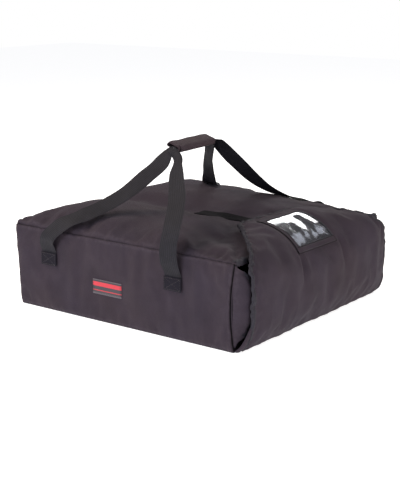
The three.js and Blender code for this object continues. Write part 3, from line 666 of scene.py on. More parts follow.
def flap_profile(squareness):
    """The flap's middle as places (y, z) from foot to free edge, and their distances along it."""
    z = np.linspace(FLAP_BOTTOM, BEND_START, 13)[:-1]
    y = BEND_SETBACK - HALF_DEPTH - BEND_DEPTH + FLAP_TUCK * (1 - z / BEND_START) ** 3.4
    turn = np.linspace(math.pi / 2, 0, 97)
    bend_y = BEND_SETBACK - HALF_DEPTH - BEND_DEPTH * np.sin(turn) ** (2 / squareness)
    bend_z = BEND_START + BEND_HEIGHT * np.maximum(np.cos(turn), 0) ** (2 / squareness)
    y = np.concatenate([y, bend_y, [BEND_SETBACK - HALF_DEPTH + FLAP_TAIL]])
    z = np.concatenate([z, bend_z, [BEND_START + BEND_HEIGHT]])
    steps = np.hypot(np.diff(y), np.diff(z))
    return y, z, np.concatenate([[0], np.cumsum(steps)])


# Places up the pattern: the pocket, the start of the slanted sides and the fold between the two
# bodies. The pocket's tapes run from its left to its right, and from its low to its high edge.
FLAP_LENGTH = flap_profile(2)[2][-1]
POCKET_HALF = 0.0725
POCKET_LENGTH = 0.107
POCKET_TOP = FLAP_LENGTH - 0.047
POCKET_BOTTOM = POCKET_TOP - POCKET_LENGTH
CHAMFER_START = POCKET_BOTTOM + 0.0176
FOLD_LINE = POCKET_BOTTOM + 0.0433
FOLD_HALF = 0.02
POCKET_LEFT = -POCKET_HALF - 0.005
POCKET_RIGHT = POCKET_HALF - 0.0145
POCKET_LOW = POCKET_BOTTOM + 0.017
POCKET_HIGH = POCKET_TOP + 0.015


def flap_edge(s):
    """The pattern's half width at a distance up it: straight, then slanted in to the end."""
    slope = FLAP_HALF_WIDTH * (1 - FLAP_END_SHARE) / (FLAP_LENGTH - CHAMFER_START)
    return FLAP_HALF_WIDTH - slope * np.maximum(s - CHAMFER_START, 0)


def flap_inward(x, s):
    """How far a place of the pattern lies in from the flap's slanted sides and free edge."""
    return np.minimum(flap_edge(s) - np.abs(x), FLAP_LENGTH - s)


def flap_point(x, s, height):
    """Pattern places and heights off the flap's middle, as points of the frame. The bend is
    rounder in the flap's middle and squarer toward its sides."""
    x, s, height = np.broadcast_arrays(x, s, height)
    result = np.empty((*x.shape, 3))
    squareness = np.round(2 + 1.2 * ramp(np.abs(x) / FLAP_HALF_WIDTH) ** 2, 3)
    for value in np.unique(squareness):
        mask = squareness == value
        y, z, lengths = flap_profile(value)
        distance = s[mask] / FLAP_LENGTH * lengths[-1]

        def middle(d):
            beyond = d - np.clip(d, 0, lengths[-1])
            return (np.interp(d, lengths, y) + beyond * (d > 0), np.interp(d, lengths, z))

        before, after = middle(distance - SLOPE_REACH), middle(distance + SLOPE_REACH)
        along = np.stack([after[0] - before[0], after[1] - before[1]])
        along /= np.linalg.norm(along, axis=0)
        centre = middle(distance)
        result[mask] = np.stack([
            x[mask], centre[0] - along[1] * height[mask], centre[1] + along[0] * height[mask]], -1)
    return result


def flap_half_stack(x, s):
    """Half the flap's thickness: full in its middle, pinched where the tape binds it."""
    inward = flap_inward(x, s)
    fill = 0.13 + 0.87 * np.sqrt(smooth(inward, 0.002, 0.05))
    foot = 0.45 + 0.55 * smooth(s, 0, 0.05)
    return (CLOTH_LAYERS + PADDING * np.minimum(fill, foot)) / 2


def flap_ruffle(x, s):
    """How the flap's thin rim waves off its smooth middle."""
    inward = np.maximum(flap_inward(x, s), 0)
    wave = wander(x, s, 0.03, 105) + 0.9 * wander(x, s, 0.015, 106)
    calm = 1 - 0.7 * smooth(x, 0.2, 0.23) * (1 - smooth(s, CHAMFER_START - 0.05, CHAMFER_START))
    return 0.0019 * wave * calm * np.exp(-inward / 0.012) * smooth(s, 0.0, 0.03)


def flap_creases(x, s):
    """Soft vertical folds under the bend, a sharp crease below each lower corner of the pocket,
    and gathers along the bound edges."""
    inward = flap_inward(x, s)
    inside = smooth(inward, 0.004, 0.05)
    front = smooth(s, 0.02, 0.07) * (1 - smooth(s, 0.14, 0.2))
    folds = 0.0020 * front * wander(x, s * 0.25, 0.075, 101)
    total = folds + 0.0014 * wander(x, s, 0.09, 102) + 0.0005 * wander(x, s, 0.03, 103)
    low = smooth(s, 0.012, 0.035) * (1 - smooth(s, 0.05, 0.11))
    total = total + 0.001 * low * crests(wander(x, s * 0.2, 0.05, 107))
    for centre, depth in ((POCKET_LEFT + 0.002, 0.005), (POCKET_RIGHT + 0.012, 0.003)):
        lean = x - centre - 0.12 * (s - POCKET_LOW)
        run = smooth(s, POCKET_LOW - 0.065, POCKET_LOW - 0.015)
        run = run * (1 - smooth(s, POCKET_LOW, POCKET_LOW + 0.02))
        total = total - depth * run * np.exp(-(lean / 0.006) ** 2)
        total = total + 0.5 * depth * run * np.exp(-((np.abs(lean) - 0.013) / 0.008) ** 2)
    gathers = 0.0016 * wander(s, x * 0.4, 0.017, 104) * np.exp(-inward / 0.022)
    return inside * total + smooth(inward, 0.003, 0.012) * gathers


def under_pocket(x, s):
    """1 where the pocket is sewn over the flap, 0 well away from it."""
    beyond = np.maximum(POCKET_LEFT - x, x - POCKET_RIGHT)
    across = 1 - smooth(beyond, 0, 0.012)
    return across * smooth(s, POCKET_LOW - 0.012, POCKET_LOW) * (
        1 - smooth(s, POCKET_HIGH, POCKET_HIGH + 0.012))


def flap_face(x, s):
    """Height of the flap's outer cloth off its middle."""
    calm = 1 - 0.75 * under_pocket(x, s)
    inward = flap_inward(x, s)
    puff = 0.0026 * smooth(inward, 0.01, 0.06) * smooth(s, 0.0, 0.08)
    return flap_half_stack(x, s) + (puff + flap_creases(x, s)) * calm


def bend_flap(piece):
    """Works out the ends of the fold between the flap's lower and upper bodies, which nothing uses,
    and bakes the piece's placement into its mesh.
    """
    ends = np.array([FOLD_LINE - FOLD_HALF, FOLD_LINE + FOLD_HALF])
    fold = flap_point(np.array([0.0, 0.0]), ends, 0)
    tuple(fold[0])
    tuple(fold[1])
    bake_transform(piece)


def build_flap():
    """The flap over its pattern, with its cloth settled, and kept off the floor."""
    share = (eased(even_steps(2 * FLAP_HALF_WIDTH, FLAP_STEP_ACROSS), crowd=0.4) * 2 - 1)[:, None]
    s = (eased(even_steps(FLAP_LENGTH, FLAP_STEP_UP), crowd=0.3) * FLAP_LENGTH)[None, :]
    x = share * flap_edge(s)
    ruffle = flap_ruffle(x, s)
    front = flap_point(x, s, ruffle + flap_face(x, s))
    inward = flap_inward(x, s)
    bound = np.where((inward < TAPE_SHOWN + 0.001) | (s < 0.001), 1, 0.03)
    held = np.maximum(bound, under_pocket(x, s))
    front = front + settled(front, held, slack=0.014, bending=4, reach=0.003)
    front[..., 2] = np.maximum(front[..., 2], FLOOR_CLEARANCE)
    back = flap_point(x, s, ruffle - flap_half_stack(x, s) + 0.0004 * wander(x, s, 0.06, 111))
    uv = stacked(x, s)
    flap = closed_sheet("flap", front, back, uv, [CLOTH, LINING], np.exp(-inward / 0.004) * 0.5)
    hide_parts(*layers("flap_lower"), *layers("flap_upper"))
    bend_flap(flap)


def build_toe(name, side):
    """The flap's foot runs on to the base's corner as a small padded triangle below the tape."""
    share = np.linspace(0, 1, 9)[:, None]
    s = np.linspace(0.0005, TOE_HEIGHT, 20)[None, :]
    width = TOE_WIDTH * (1 - s / TOE_HEIGHT) ** 0.7 + 0.0005
    x = FLAP_HALF_WIDTH + 0.0008 + width * share
    plump = 0.0007 + 0.0022 * np.sin(math.pi * share) * ramp(width / 0.006)
    low = 0.0022 * (1 - smooth(s, 0, 0.012))
    front = flap_point(side * x, s, plump + TOE_HALF - low)
    back = flap_point(side * x, s, -TOE_HALF - low)
    uv = stacked(x, s)
    toe = closed_sheet(name, front, back, uv, [CLOTH, LINING])
    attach(toe, "flap_lower")


build_flap()
build_toe("flap_toe_left", -1)
build_toe("flap_toe_right", 1)

# Binding tape: a woven polyester ribbon folded over the raw edges of the flap and of the top's
# front, and sewn through. It waves a little between its stitches, with its edges pulled in.
TAPE_THICKNESS = 0.0009
TAPE_NOSE = 0.0017
TOP_EDGE_HALF = 0.0038
TOP_EDGE_DEPTH = 0.0037


def ribbed_tape(name, dyed, rib_mm, groove_shade, roughness, shine=0.35, uneven=0.15, cloud_mm=16.67):
    """Tape or webbing woven with ribs along its length; its UV map runs across in U. groove is the
    painted shade between two ribs, as a share of the colour, and uneven how much its clouds and
    specks differ: dye on the webbing and thread, painted light and shade of crinkles on the binding."""
    material, tree, shader, place = new_material(name)
    uv = add_node(tree, "ShaderNodeUVMap").outputs["UV"]
    ribs = add_node(tree, "ShaderNodeTexWave", {
        "Vector": uv, "Scale": wave_scale(rib_mm), "Distortion": 0.4,
        "Detail": 1.0}, bands_direction="X")
    picks = add_node(tree, "ShaderNodeTexWave", {
        "Vector": uv, "Scale": 1.5 * wave_scale(rib_mm), "Distortion": 0.8,
        "Detail": 1.0}, bands_direction="Y")
    weave = add_node(tree, "ShaderNodeMath", {
        0: ribs.outputs["Fac"], 1: picks.outputs["Fac"]}, operation="ADD")
    # Painted shade in the grooves between the ribs: the colour drops there to the groove share.
    relief_shading = add_node(tree, "ShaderNodeMapRange", {
        "Value": ribs.outputs["Fac"], "To Min": groove_shade, "To Max": 1.0}).outputs["Result"]
    shade = add_node(tree, "ShaderNodeMath", {
        0: blotch(tree, place, cloud_mm, 1 - uneven, 1 + uneven), 1: relief_shading}, operation="MULTIPLY")
    base = add_node(tree, "ShaderNodeVectorMath", {
        0: linear(dyed)[:3], "Scale": shade.outputs[0]}, operation="SCALE")
    tree.links.new(base.outputs["Vector"], shader.inputs["Base Color"])
    bump = add_node(tree, "ShaderNodeBump", {
        "Height": weave.outputs[0], "Strength": 0.5, "Distance": 0.0004})
    tree.links.new(bump.outputs["Normal"], shader.inputs["Normal"])
    shader.inputs["Roughness"].default_value = roughness
    shader.inputs["Specular IOR Level"].default_value = shine
    return material


# Binding: dark grosgrain of fine ribs, dull, with painted shade between the ribs, and speckled light
# and dark as painted highlights and shade on its crinkles.
BINDING = ribbed_tape("binding_tape", "#312f36", rib_mm=1.1, groove_shade=0.7, roughness=0.72,
                      shine=0.22, uneven=0.4, cloud_mm=2.174)


def ring_quads(number):
    """Faces of a wall through closed rings of point numbers, one ring in each row."""
    ahead = np.roll(number, -1, axis=1)
    return np.stack([number[:-1], ahead[:-1], ahead[1:], number[1:]], -1).reshape(-1, 4)


def swept(name, rings, uv, material, sharp):
    """A body through a list of closed rings of points, capped at both ends."""
    count, size = rings.shape[:2]
    number = np.arange(count * size).reshape(count, size)
    faces = [*ring_quads(number).tolist(), number[0, ::-1].tolist(), number[-1].tolist()]
    mesh = bpy.data.meshes.new(name)
    mesh.from_pydata(rings.reshape(-1, 3).tolist(), [], faces)
    mesh.materials.append(material)
    return finish_mesh(mesh, uv.reshape(-1, 2), sharp=sharp)


def travelled(points):
    """The distance along a line of points at each of them."""
    steps = np.linalg.norm(np.diff(points, axis=0), axis=1)
    return np.concatenate([[0], np.cumsum(steps)])


def at_distances(at, run, values):
    """Rows of values at some distances along a line, from those at its points."""
    return np.stack([np.interp(at, run, column) for column in values.T], -1)


def tape_section(half, reach, nose):
    """The folded tape's outline as (distance in from the cut edge, height), outside then inside."""
    turn = np.linspace(math.pi / 2, -math.pi / 2, 7)[1:-1]
    outer = [(reach, half + 0.2 * TAPE_THICKNESS + 0.0003), (reach * 0.92, half + TAPE_THICKNESS),
             (reach * 0.5, half + TAPE_THICKNESS), (0.0, half + TAPE_THICKNESS)]
    bow = [(-nose * math.cos(a), (half + TAPE_THICKNESS) * math.sin(a)) for a in turn]
    lower = [(d, -h) for d, h in reversed(outer)]
    inner = [(reach, -half - 0.0001), (0.0, -half - 0.0001), (0.0, half + 0.0001),
             (reach, half + 0.0001)]
    return np.array(outer + bow + lower + inner)


def binding(name, path, inward, half, point, replaced, seed, reach=TAPE_SHOWN):
    """Tape along a pattern path. inward is the unit way off the cut edge at each place, half the
    half thickness it grips, and point carries pattern places and heights into the frame."""
    run = travelled(path)
    wave = wander(run, run * 0, 0.05, seed)
    flutter = wander(run, run * 0, 0.019, seed + 1)
    crinkle = wander(run, run * 0, 0.009, seed + 2)
    rings, uvs = [], []
    for n, place in enumerate(path):
        width = reach + 0.0006 * wave[n]
        section = tape_section(half[n] + 0.0003 + 0.00025 * flutter[n], width, TAPE_NOSE)
        ring = place + section[:, :1] * inward[n] * (1 + 0.1 * crinkle[n])
        ring = ring + (0.0009 * flutter[n] + 0.0005 * crinkle[n]) * inward[n]
        lift = 0.0003 * flutter[n] + 0.0006 * crinkle[n]
        rings.append(point(ring[:, 0], ring[:, 1], section[:, 1] + lift))
        uvs.append(np.stack([section[:, 0] + section[:, 1], np.full(len(section), run[n])], -1))
    tape = swept(name, np.array(rings), np.array(uvs), BINDING, sharp=60)
    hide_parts(*replaced)
    return tape


def path_inward(path, centre):
    """Unit normals of a pattern path in its plane, on the side of the centre."""
    tangent = np.gradient(path, axis=0)
    normal = np.stack([-tangent[:, 1], tangent[:, 0]], -1)
    normal /= np.linalg.norm(normal, axis=1)[:, None]
    flip = np.sign(np.sum(normal * (np.array(centre) - path), axis=1))
    return normal * flip[:, None]


def resampled(corners, step, rounding):
    """Points along a broken line at even steps, with its corners eased by the rounding."""
    fine_step = 0.0005
    corners = np.array(corners, float)
    run = travelled(corners)
    path = at_distances(np.linspace(0, run[-1], int(run[-1] / fine_step) + 1), run, corners)
    width = int(rounding / fine_step) | 1
    padded_path = np.concatenate([
        2 * path[0] - path[width:0:-1], path, 2 * path[-1] - path[-2:-width - 2:-1]])
    kernel = np.ones(width) / width
    eased_path = np.stack([np.convolve(padded_path[:, n], kernel, "same") for n in range(2)], -1)
    return eased_path[width:-width][::max(1, round(step / fine_step))]


def build_flap_binding():
    """One tape from foot to foot, up both slanted sides and over the free edge."""
    end = float(flap_edge(FLAP_LENGTH))
    path = resampled([
        (-FLAP_HALF_WIDTH, 0), (-FLAP_HALF_WIDTH, CHAMFER_START), (-end, FLAP_LENGTH),
        (end, FLAP_LENGTH), (FLAP_HALF_WIDTH, CHAMFER_START), (FLAP_HALF_WIDTH, 0)], 0.003, 0.007)
    inward = path_inward(path, (0, FLAP_LENGTH * 0.45))
    half = flap_half_stack(path[:, 0], path[:, 1])

    def rim_point(x, s, height):
        return flap_point(x, s, height + flap_ruffle(x, s))

    tape = binding("flap_binding", path, inward, half, rim_point, [
        "flap_binding_lower_left", "flap_binding_lower_right", "flap_binding_upper"], 121)
    bend_flap(tape)


def build_top_binding():
    """The tape along the top's front edge, which it follows in its sag."""
    across = np.linspace(-0.975, 0.975, 160)
    path = np.stack([across * HALF_WIDTH, np.zeros(len(across))], -1)
    half = np.full(len(across), TOP_EDGE_HALF)

    def point(x, from_front, height):
        share = x / HALF_WIDTH
        return stacked(x, top_front(share) + from_front,
                       HEIGHT + top_crown(share, from_front) - TOP_EDGE_DEPTH + height)

    tape = binding("top_front_tape", path, np.tile([0.0, 1.0], (len(across), 1)), half, point,
                   ["top_front_binding"], 125)
    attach(tape, "bag")


build_flap_binding()
build_top_binding()

# Side wings: small quilted gussets behind the flap that close the opening's sides. Each is sewn
# to a side panel's front edge, runs in to a point between slanted edges, and is bound with tape.
WING_HINGE = HALF_WIDTH - 0.0025
WING_WIDTH = 0.06
WING_TOP = HEIGHT - 0.011
WING_BOTTOM = 0.01
WING_PADDING = 0.009
WING_SWELL = 0.0024
WING_SEAM_RUN = 0.02
WING_GRID_STEP = 0.0025
WING_ROOT_HEIGHT = 0.144
WING_TAPE_START = 0.014
WING_TAPE_REACH = 0.007


def wing_base(w):
    """Height of the wing's lower edge at a distance in from its seam."""
    return WING_BOTTOM + 1.22 * w


def wing_crest(w):
    """Height of the wing's upper edge at a distance in from its seam."""
    return HEIGHT - 0.004 - 0.93 * w


def wing_half(w, room):
    """Half the wing's thickness, thin at its seam and pinched where its bound edge is near."""
    seam = 0.15 + 0.85 * ramp(w / WING_SEAM_RUN)
    fill = 0.4 + 0.6 * smooth(room, 0.006, 0.022)
    return (CLOTH_LAYERS + WING_PADDING * np.minimum(seam, fill)) / 2


def wing_point(side, w, z, height):
    """Wing places, w in from the side's front edge and z up, as points of the frame."""
    full = ramp(z / 0.05) - smooth(z, WING_TOP - 0.027, WING_TOP)
    seam = (CLOTH_LAYERS + WING_PADDING * (0.15 + 0.85 * ramp(w / WING_SEAM_RUN))) / 2
    room = 0.0015 * ramp(w / 0.0078)
    middle = 0.0003 + seam + room + WING_SWELL * full * ramp(w / WING_SEAM_RUN)
    return stacked(side * (WING_HINGE - w), -HALF_DEPTH - middle - height, z)


def build_wing(name, side, seed):
    """One wing, its seam wrapped round the side's front edge, and its tape."""
    w = eased(even_steps(WING_WIDTH, WING_GRID_STEP), crowd=0.3)[:, None] * WING_WIDTH
    share = eased(even_steps(WING_ROOT_HEIGHT, WING_GRID_STEP), crowd=0.3)[None, :]
    z = wing_base(w) + share * (wing_crest(w) - wing_base(w))
    room = np.minimum(np.minimum(z - wing_base(w), wing_crest(w) - z), WING_WIDTH - w)
    half = wing_half(w, room)
    puff = 0.0035 * smooth(room, 0.0, 0.02) + 0.0016 * smooth(room, 0.001, 0.012) * (
        wander(w * 0.5, z, 0.022, seed) + 0.5 * wander(w, z, 0.04, seed + 1))
    root = 1 - smooth(w, 0.004, 0.016)
    front = wing_point(side, w, z, half + puff)
    wrap = 1 - smooth(w, 0.0, 0.015)
    front[..., 0] += side * (0.0045 * wrap - 0.0045 * np.exp(-w / 0.002))
    front[..., 1] += (front_recess(z) - HALF_DEPTH + 0.001 - front[..., 1]) * wrap
    back = wing_point(side, w, z, -half - 0.0062 * root * smooth(room, 0.0, 0.006))
    uv = stacked(w, z)
    # Painted shade along the wing's seam, deeper at its root, with a rubbed shoulder partly painted
    # as highlight.
    wing = closed_sheet(f"wing_{name}", front, back, uv, [CLOTH, LINING],
                        seam_shade_and_wear(w + 0 * z) - np.exp(-(w / DEEP_SEAM_SHADE_WIDTH) ** 2))
    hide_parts(*layers(f"wing_{name}"))
    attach(wing, f"wing_{name}")
    start, tip = WING_TAPE_START, WING_WIDTH
    path = resampled([
        (start, wing_base(start)), (tip, wing_base(tip)), (tip, wing_crest(tip)),
        (start, wing_crest(start))], WING_GRID_STEP, 0.005)
    inward = path_inward(path, (0.012, 0.085))
    half = wing_half(path[:, 0], path[:, 0] * 0)
    tape = binding(f"wing_{name}_tape", path, inward, half,
                   lambda along, up, height: wing_point(side, along, up, height),
                   [f"wing_{name}_binding"], seed + 3, reach=WING_TAPE_REACH)
    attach(tape, f"wing_{name}")


build_wing("left", -1, 131)
build_wing("right", 1, 141)

# Card pocket: a clear film on the flap's bend, under cloth tapes that are sewn down on three
# sides. Its right side is hemmed with binding and stays open, so that a card slides in.
FRAME_WIDTH = 0.012
HEM_WIDTH = 0.005
FRAME_TAPE = 0.0006
FILM_THICKNESS = 0.0004
FILM_LIFT = 0.0007
LEFT_TAPE_LIFT = 0.0014
TAPE_LIFT = 0.0016
POCKET_GRID_STEP = 0.0025


def clear_vinyl():
    """Soft clear film with faint haze and shallow waves 26 mm apart."""
    material, tree, shader, place = new_material("clear_vinyl")
    waves = add_node(tree, "ShaderNodeTexNoise", {
        "Vector": place, "Scale": 1000 / 26.32, "Detail": 2.0})
    bump = add_node(tree, "ShaderNodeBump", {
        "Height": waves.outputs["Fac"], "Strength": 0.2, "Distance": 0.003})
    tree.links.new(bump.outputs["Normal"], shader.inputs["Normal"])
    tree.links.new(blotch(tree, place, 8.333, 0.04, 0.12), shader.inputs["Roughness"])
    shader.inputs["Base Color"].default_value = linear("#eef0f2")
    shader.inputs["Transmission Weight"].default_value = 1.0
    shader.inputs["IOR"].default_value = 1.5
    return material


# Clear vinyl: soft PVC film, pressed smooth between rollers. It shows the cloth behind it, and
# its slight waves break the reflections of the lamps into patches.
VINYL = clear_vinyl()


def pocket_sheet(name, x0, x1, s0, s1, lift, thickness, material, replaced, puff=0.0):
    """A sheet over a box of the pattern that follows the flap's face, and stands off it by the
    lift. puff is how much further its middle stands."""
    x = x0 + (x1 - x0) * even_steps(x1 - x0, POCKET_GRID_STEP)[:, None]
    s = s0 + (s1 - s0) * even_steps(s1 - s0, POCKET_GRID_STEP)[None, :]
    room = np.minimum(np.minimum(x - x0, x1 - x), np.minimum(s - s0, s1 - s))
    rise = flap_face(x, s) + lift
    rise = rise + puff * smooth(room, 0, 0.03) * (1 + 0.5 * wander(x, s, 0.05, 151))
    front = flap_point(x, s, rise + thickness)
    back = flap_point(x, s, rise)
    uv = stacked(x, s)
    # Painted shade along the sheet's edges, which darkens the cloth tapes' rims; the film's and the
    # hem's materials don't use it.
    edge = -0.9 * np.exp(-(room / 0.0012) ** 2) * np.ones(front.shape[:2])
    sheet = closed_sheet(name, front, back, uv, [material], edge)
    if replaced:
        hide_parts(*replaced)
    bend_flap(sheet)
    return sheet


def build_pocket():
    """The film, its three tapes and the hem of its open side."""
    left, right, bottom, top = POCKET_LEFT, POCKET_RIGHT, POCKET_LOW, POCKET_HIGH
    film = pocket_sheet(
        "pocket_film", left + 0.001, right, bottom + 0.001, top - 0.001, FILM_LIFT, FILM_THICKNESS,
        VINYL, ["pocket_film_lower", "pocket_film_upper"], puff=0.0016)
    pocket_sheet("pocket_tape_left", left, left + FRAME_WIDTH, bottom, top, LEFT_TAPE_LIFT,
                 FRAME_TAPE, CLOTH, ["pocket_frame_lower", "pocket_frame_upper"])
    for name, x0, low, high, material in (
            ("pocket_tape_bottom", left, bottom, bottom + FRAME_WIDTH, CLOTH),
            ("pocket_tape_top", left, top - FRAME_WIDTH, top, CLOTH),
            ("pocket_hem", right - HEM_WIDTH, bottom + FRAME_WIDTH, top - FRAME_WIDTH, BINDING)):
        pocket_sheet(name, x0, right, low, high, TAPE_LIFT, FRAME_TAPE, material, [])


build_pocket()

# Hook and loop strips: nylon fastening tape 38 mm wide. The loop strip is sewn down the middle of
# the top, partly under the flap, and the hook strip lies across under the flap's end.
STRIP_WIDTH = 0.038
HOOK_STRIP_LENGTH = 0.048


def pile(name, colour, tuft_mm, depth):
    """Loop or hook tape: a dense field of tiny tufts, with painted light on their tops and painted
    shade between them.
    """
    material, tree, shader, place = new_material(name)
    tufts = add_node(tree, "ShaderNodeTexVoronoi", {"Vector": place, "Scale": 1000 / tuft_mm})
    # Painted light and shade: lighter on each tuft, darker between the tufts.
    relief_shading = add_node(tree, "ShaderNodeMapRange", {
        "Value": tufts.outputs["Distance"], "From Max": 0.7, "To Min": 1.25, "To Max": 0.55})
    base = add_node(tree, "ShaderNodeVectorMath", {
        0: linear(colour)[:3], "Scale": relief_shading.outputs["Result"]}, operation="SCALE")
    tree.links.new(base.outputs["Vector"], shader.inputs["Base Color"])
    bump = add_node(tree, "ShaderNodeBump", {
        "Height": tufts.outputs["Distance"], "Strength": 0.8, "Distance": depth}, invert=True)
    tree.links.new(bump.outputs["Normal"], shader.inputs["Normal"])
    shader.inputs["Roughness"].default_value = 0.95
    shader.inputs["Specular IOR Level"].default_value = 0.15
    return material


# Loop pile: a brushed field of soft nylon loops that swallows light, so the blackest part, and
# coloured darker still as painted shade of the valley that the strip lies in.
LOOP = pile("loop_pile", "#100e13", tuft_mm=0.909, depth=0.0008)

# Hook pile: stiff nylon hooks in close rows, a shade lighter than the loops.
HOOK = pile("hook_pile", "#1a181b", tuft_mm=0.6667, depth=0.0006)


def build_strips():
    """The loop strip, which follows the top, and the hook strip under the flap's end."""
    x = np.linspace(-STRIP_WIDTH / 2, STRIP_WIDTH / 2, 15)[:, None]
    start = top_front(np.array(0.0))
    y = np.linspace(start + 0.05, LOOP_BACK_Y, 90)[None, :]
    share = x / HALF_WIDTH
    crown = HEIGHT + top_crown(share, y - top_front(share)) + top_fullness(x, y)
    crown = crown + top_folds(x, y, 0.05 + 0 * x * y)
    edge = np.exp(-(STRIP_WIDTH / 2 - np.abs(x)) / 0.0015)
    top = stacked(x, y, crown + 0.0024 - 0.0008 * edge)
    loop = closed_sheet("loop_strip", top, stacked(x, y, crown + 0.0002),
                        stacked(x, y), [LOOP])
    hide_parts("top_loop_strip")
    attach(loop, "bag")
    end = FLAP_LENGTH - TAPE_REACH - 0.0003
    s = np.linspace(end - HOOK_STRIP_LENGTH, end, 20)[None, :]
    half = flap_half_stack(x, s)
    hook = closed_sheet("hook_strip", flap_point(x, s, -half - 0.0025),
                        flap_point(x, s, -half - 0.0004), stacked(x, s), [HOOK])
    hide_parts("flap_hook_strip")
    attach(hook, "flap_upper")


build_strips()

# Straps: two lengths of 38 mm webbing, sewn to the sides under patches, that cross over the top
# through the grip. The routes repeat the frame's, leg by leg.
MM = 0.001
WEB_WIDTH = 0.038
WEB_THICKNESS = 0.0018
STRAP_END = HEIGHT - 0.07
REAR_Y = 0.68 * HALF_DEPTH
FRONT_Y = -0.49 * HALF_DEPTH
STRAP_GAP = 0.0008
STRAP_FACE = HALF_WIDTH + STRAP_GAP + WEB_THICKNESS / 2
STRAP_STEP = 0.004
SLACK_START = 0.19
GRIP_END = 0.07
GRIP_Y = 0.026
GRIP_Z = HEIGHT + 0.156
GRIP_TILT = math.radians(19)
GRIP_TURN = math.tan(math.radians(5))
TURN_FADE = (0.075, 0.13)
GATHERED_SHARE = 0.36
GATHERED_CUP = 0.0035
CURVE_CUTS = 24

# Strap webbing: heavy black polypropylene, woven with ribs along its length, dull with a faint gleam
# on the ribs and painted shade in the grooves between them. The real ribs are about 1.9 mm apart;
# they are drawn coarser, 4.2 mm apart, because finer ones don't show in the render.
WEBBING = ribbed_tape("strap_webbing", "#222127", rib_mm=4.2, groove_shade=0.5, roughness=0.7, shine=0.2)


def leg(side, end_y, bends, mouth, pass_z):
    """One leg's route from its sewn end to the grip, as (x, y, z, twist in degrees). Bends are
    millimetres from the bag's side, from the sewn end and from the top seam, and the twist."""
    start = [(STRAP_FACE, end_y, STRAP_END, 0), (STRAP_FACE, end_y, STRAP_END + 0.026, 0)]
    free = [(base + dx * MM, end_y + dy * MM, HEIGHT + dz * MM, twist)
            for base, dx, dy, dz, twist in bends]
    passage = [(GRIP_END - lead, GRIP_Y, pass_z, 0) for lead in (0, 0.007, GRIP_END / 2)]
    dx, dy, dz, twist = mouth
    exit_place = (GRIP_END + dx * MM, GRIP_Y + dy * MM, GRIP_Z + dz * MM, twist)
    return [(side * x, *rest) for x, *rest in [*start, *free, exit_place, *passage]]


# The bends of the four legs, and the places where they come out of the grip: millimetres from its
# end and from its middle, and the twist.
NEAR, OUT = HALF_WIDTH, STRAP_FACE
REAR_LEFT = [
    (OUT, 4, -1, -36, 0), (OUT, 12, -8, -16, -8), (OUT, 7.2, -24, 4, -10), (NEAR, -2, -47, 21, 0),
    (NEAR, -27, -71, 34, 14), (NEAR, -61, -93, 49, 12), (NEAR, -96, -117, 71, 8),
    (NEAR, -130, -136, 98, 13), (NEAR, -158, -148, 122, 8)]
REAR_RIGHT = [
    (OUT, 4, 0, -36, 0), (OUT, 9.6, -3, -12, 0), (NEAR, 7, -12, 10, 0), (NEAR, -22, -30, 24, 0),
    (NEAR, -56, -54, 32, 0), (NEAR, -91, -78, 39, 6), (NEAR, -122, -99, 52, 15),
    (NEAR, -147, -117, 79, 20), (NEAR, -165, -134, 112, 30)]
FRONT_LEFT = [
    (OUT, 4, -1, -36, 0), (OUT, 12, -1, -20, 4), (OUT, 14.4, 0, 0, 3), (OUT, 12, 0, 20, 0),
    (NEAR, 4, 1, 42, 0), (NEAR, -14, 9, 62, -2), (NEAR, -42, 25, 82, -10),
    (NEAR, -80, 55, 100, -24), (NEAR, -125, 92, 120.5, -30), (NEAR, -160, 123, 140, -22)]
FRONT_RIGHT = [
    (OUT, 4, 2, -36, 0), (OUT, 9.6, 13, -12, 0), (NEAR, 7, 32, -3, 0), (NEAR, -16, 54, 12, 0),
    (NEAR, -50, 72, 24, 0), (NEAR, -86, 92, 45, -4), (NEAR, -118, 109, 73, -12),
    (NEAR, -148, 127, 108, -14)]
REAR_MOUTH = (9, 1, -5.5, 0)
FRONT_MOUTH_LEFT = (16, -7, -0.5, -4)
FRONT_MOUTH_RIGHT = (13, -4, -5, 0)


def centripetal(points, step):
    """Places and twists at even steps along a centripetal Catmull-Rom curve through the points."""
    points = np.array(points, float)
    points, twists = points[:, :3], points[:, 3]
    points = np.concatenate([[2 * points[0] - points[1]], points, [2 * points[-1] - points[-2]]])
    curve = []
    for p0, p1, p2, p3 in zip(points, points[1:], points[2:], points[3:]):
        knots = [0.0]
        for a, b in ((p0, p1), (p1, p2), (p2, p3)):
            knots.append(knots[-1] + max(np.linalg.norm(b - a), 1e-6) ** 0.5)
        t0, t1, t2, t3 = knots
        for t in np.linspace(t1, t2, CURVE_CUTS, endpoint=False)[:, None]:
            a1 = (t1 - t) / (t1 - t0) * p0 + (t - t0) / (t1 - t0) * p1
            a2 = (t2 - t) / (t2 - t1) * p1 + (t - t1) / (t2 - t1) * p2
            a3 = (t3 - t) / (t3 - t2) * p2 + (t - t2) / (t3 - t2) * p3
            b1 = (t2 - t) / (t2 - t0) * a1 + (t - t0) / (t2 - t0) * a2
            b2 = (t3 - t) / (t3 - t1) * a2 + (t - t1) / (t3 - t1) * a3
            curve.append((t2 - t) / (t2 - t1) * b1 + (t - t1) / (t2 - t1) * b2)
    curve = np.array(curve + [points[-2]])
    run = travelled(curve)
    even = np.linspace(0, run[-1], round(run[-1] / step) + 1)
    twist = np.interp(even, run[::CURVE_CUTS], np.radians(twists))
    return at_distances(even, run, curve), even, twist


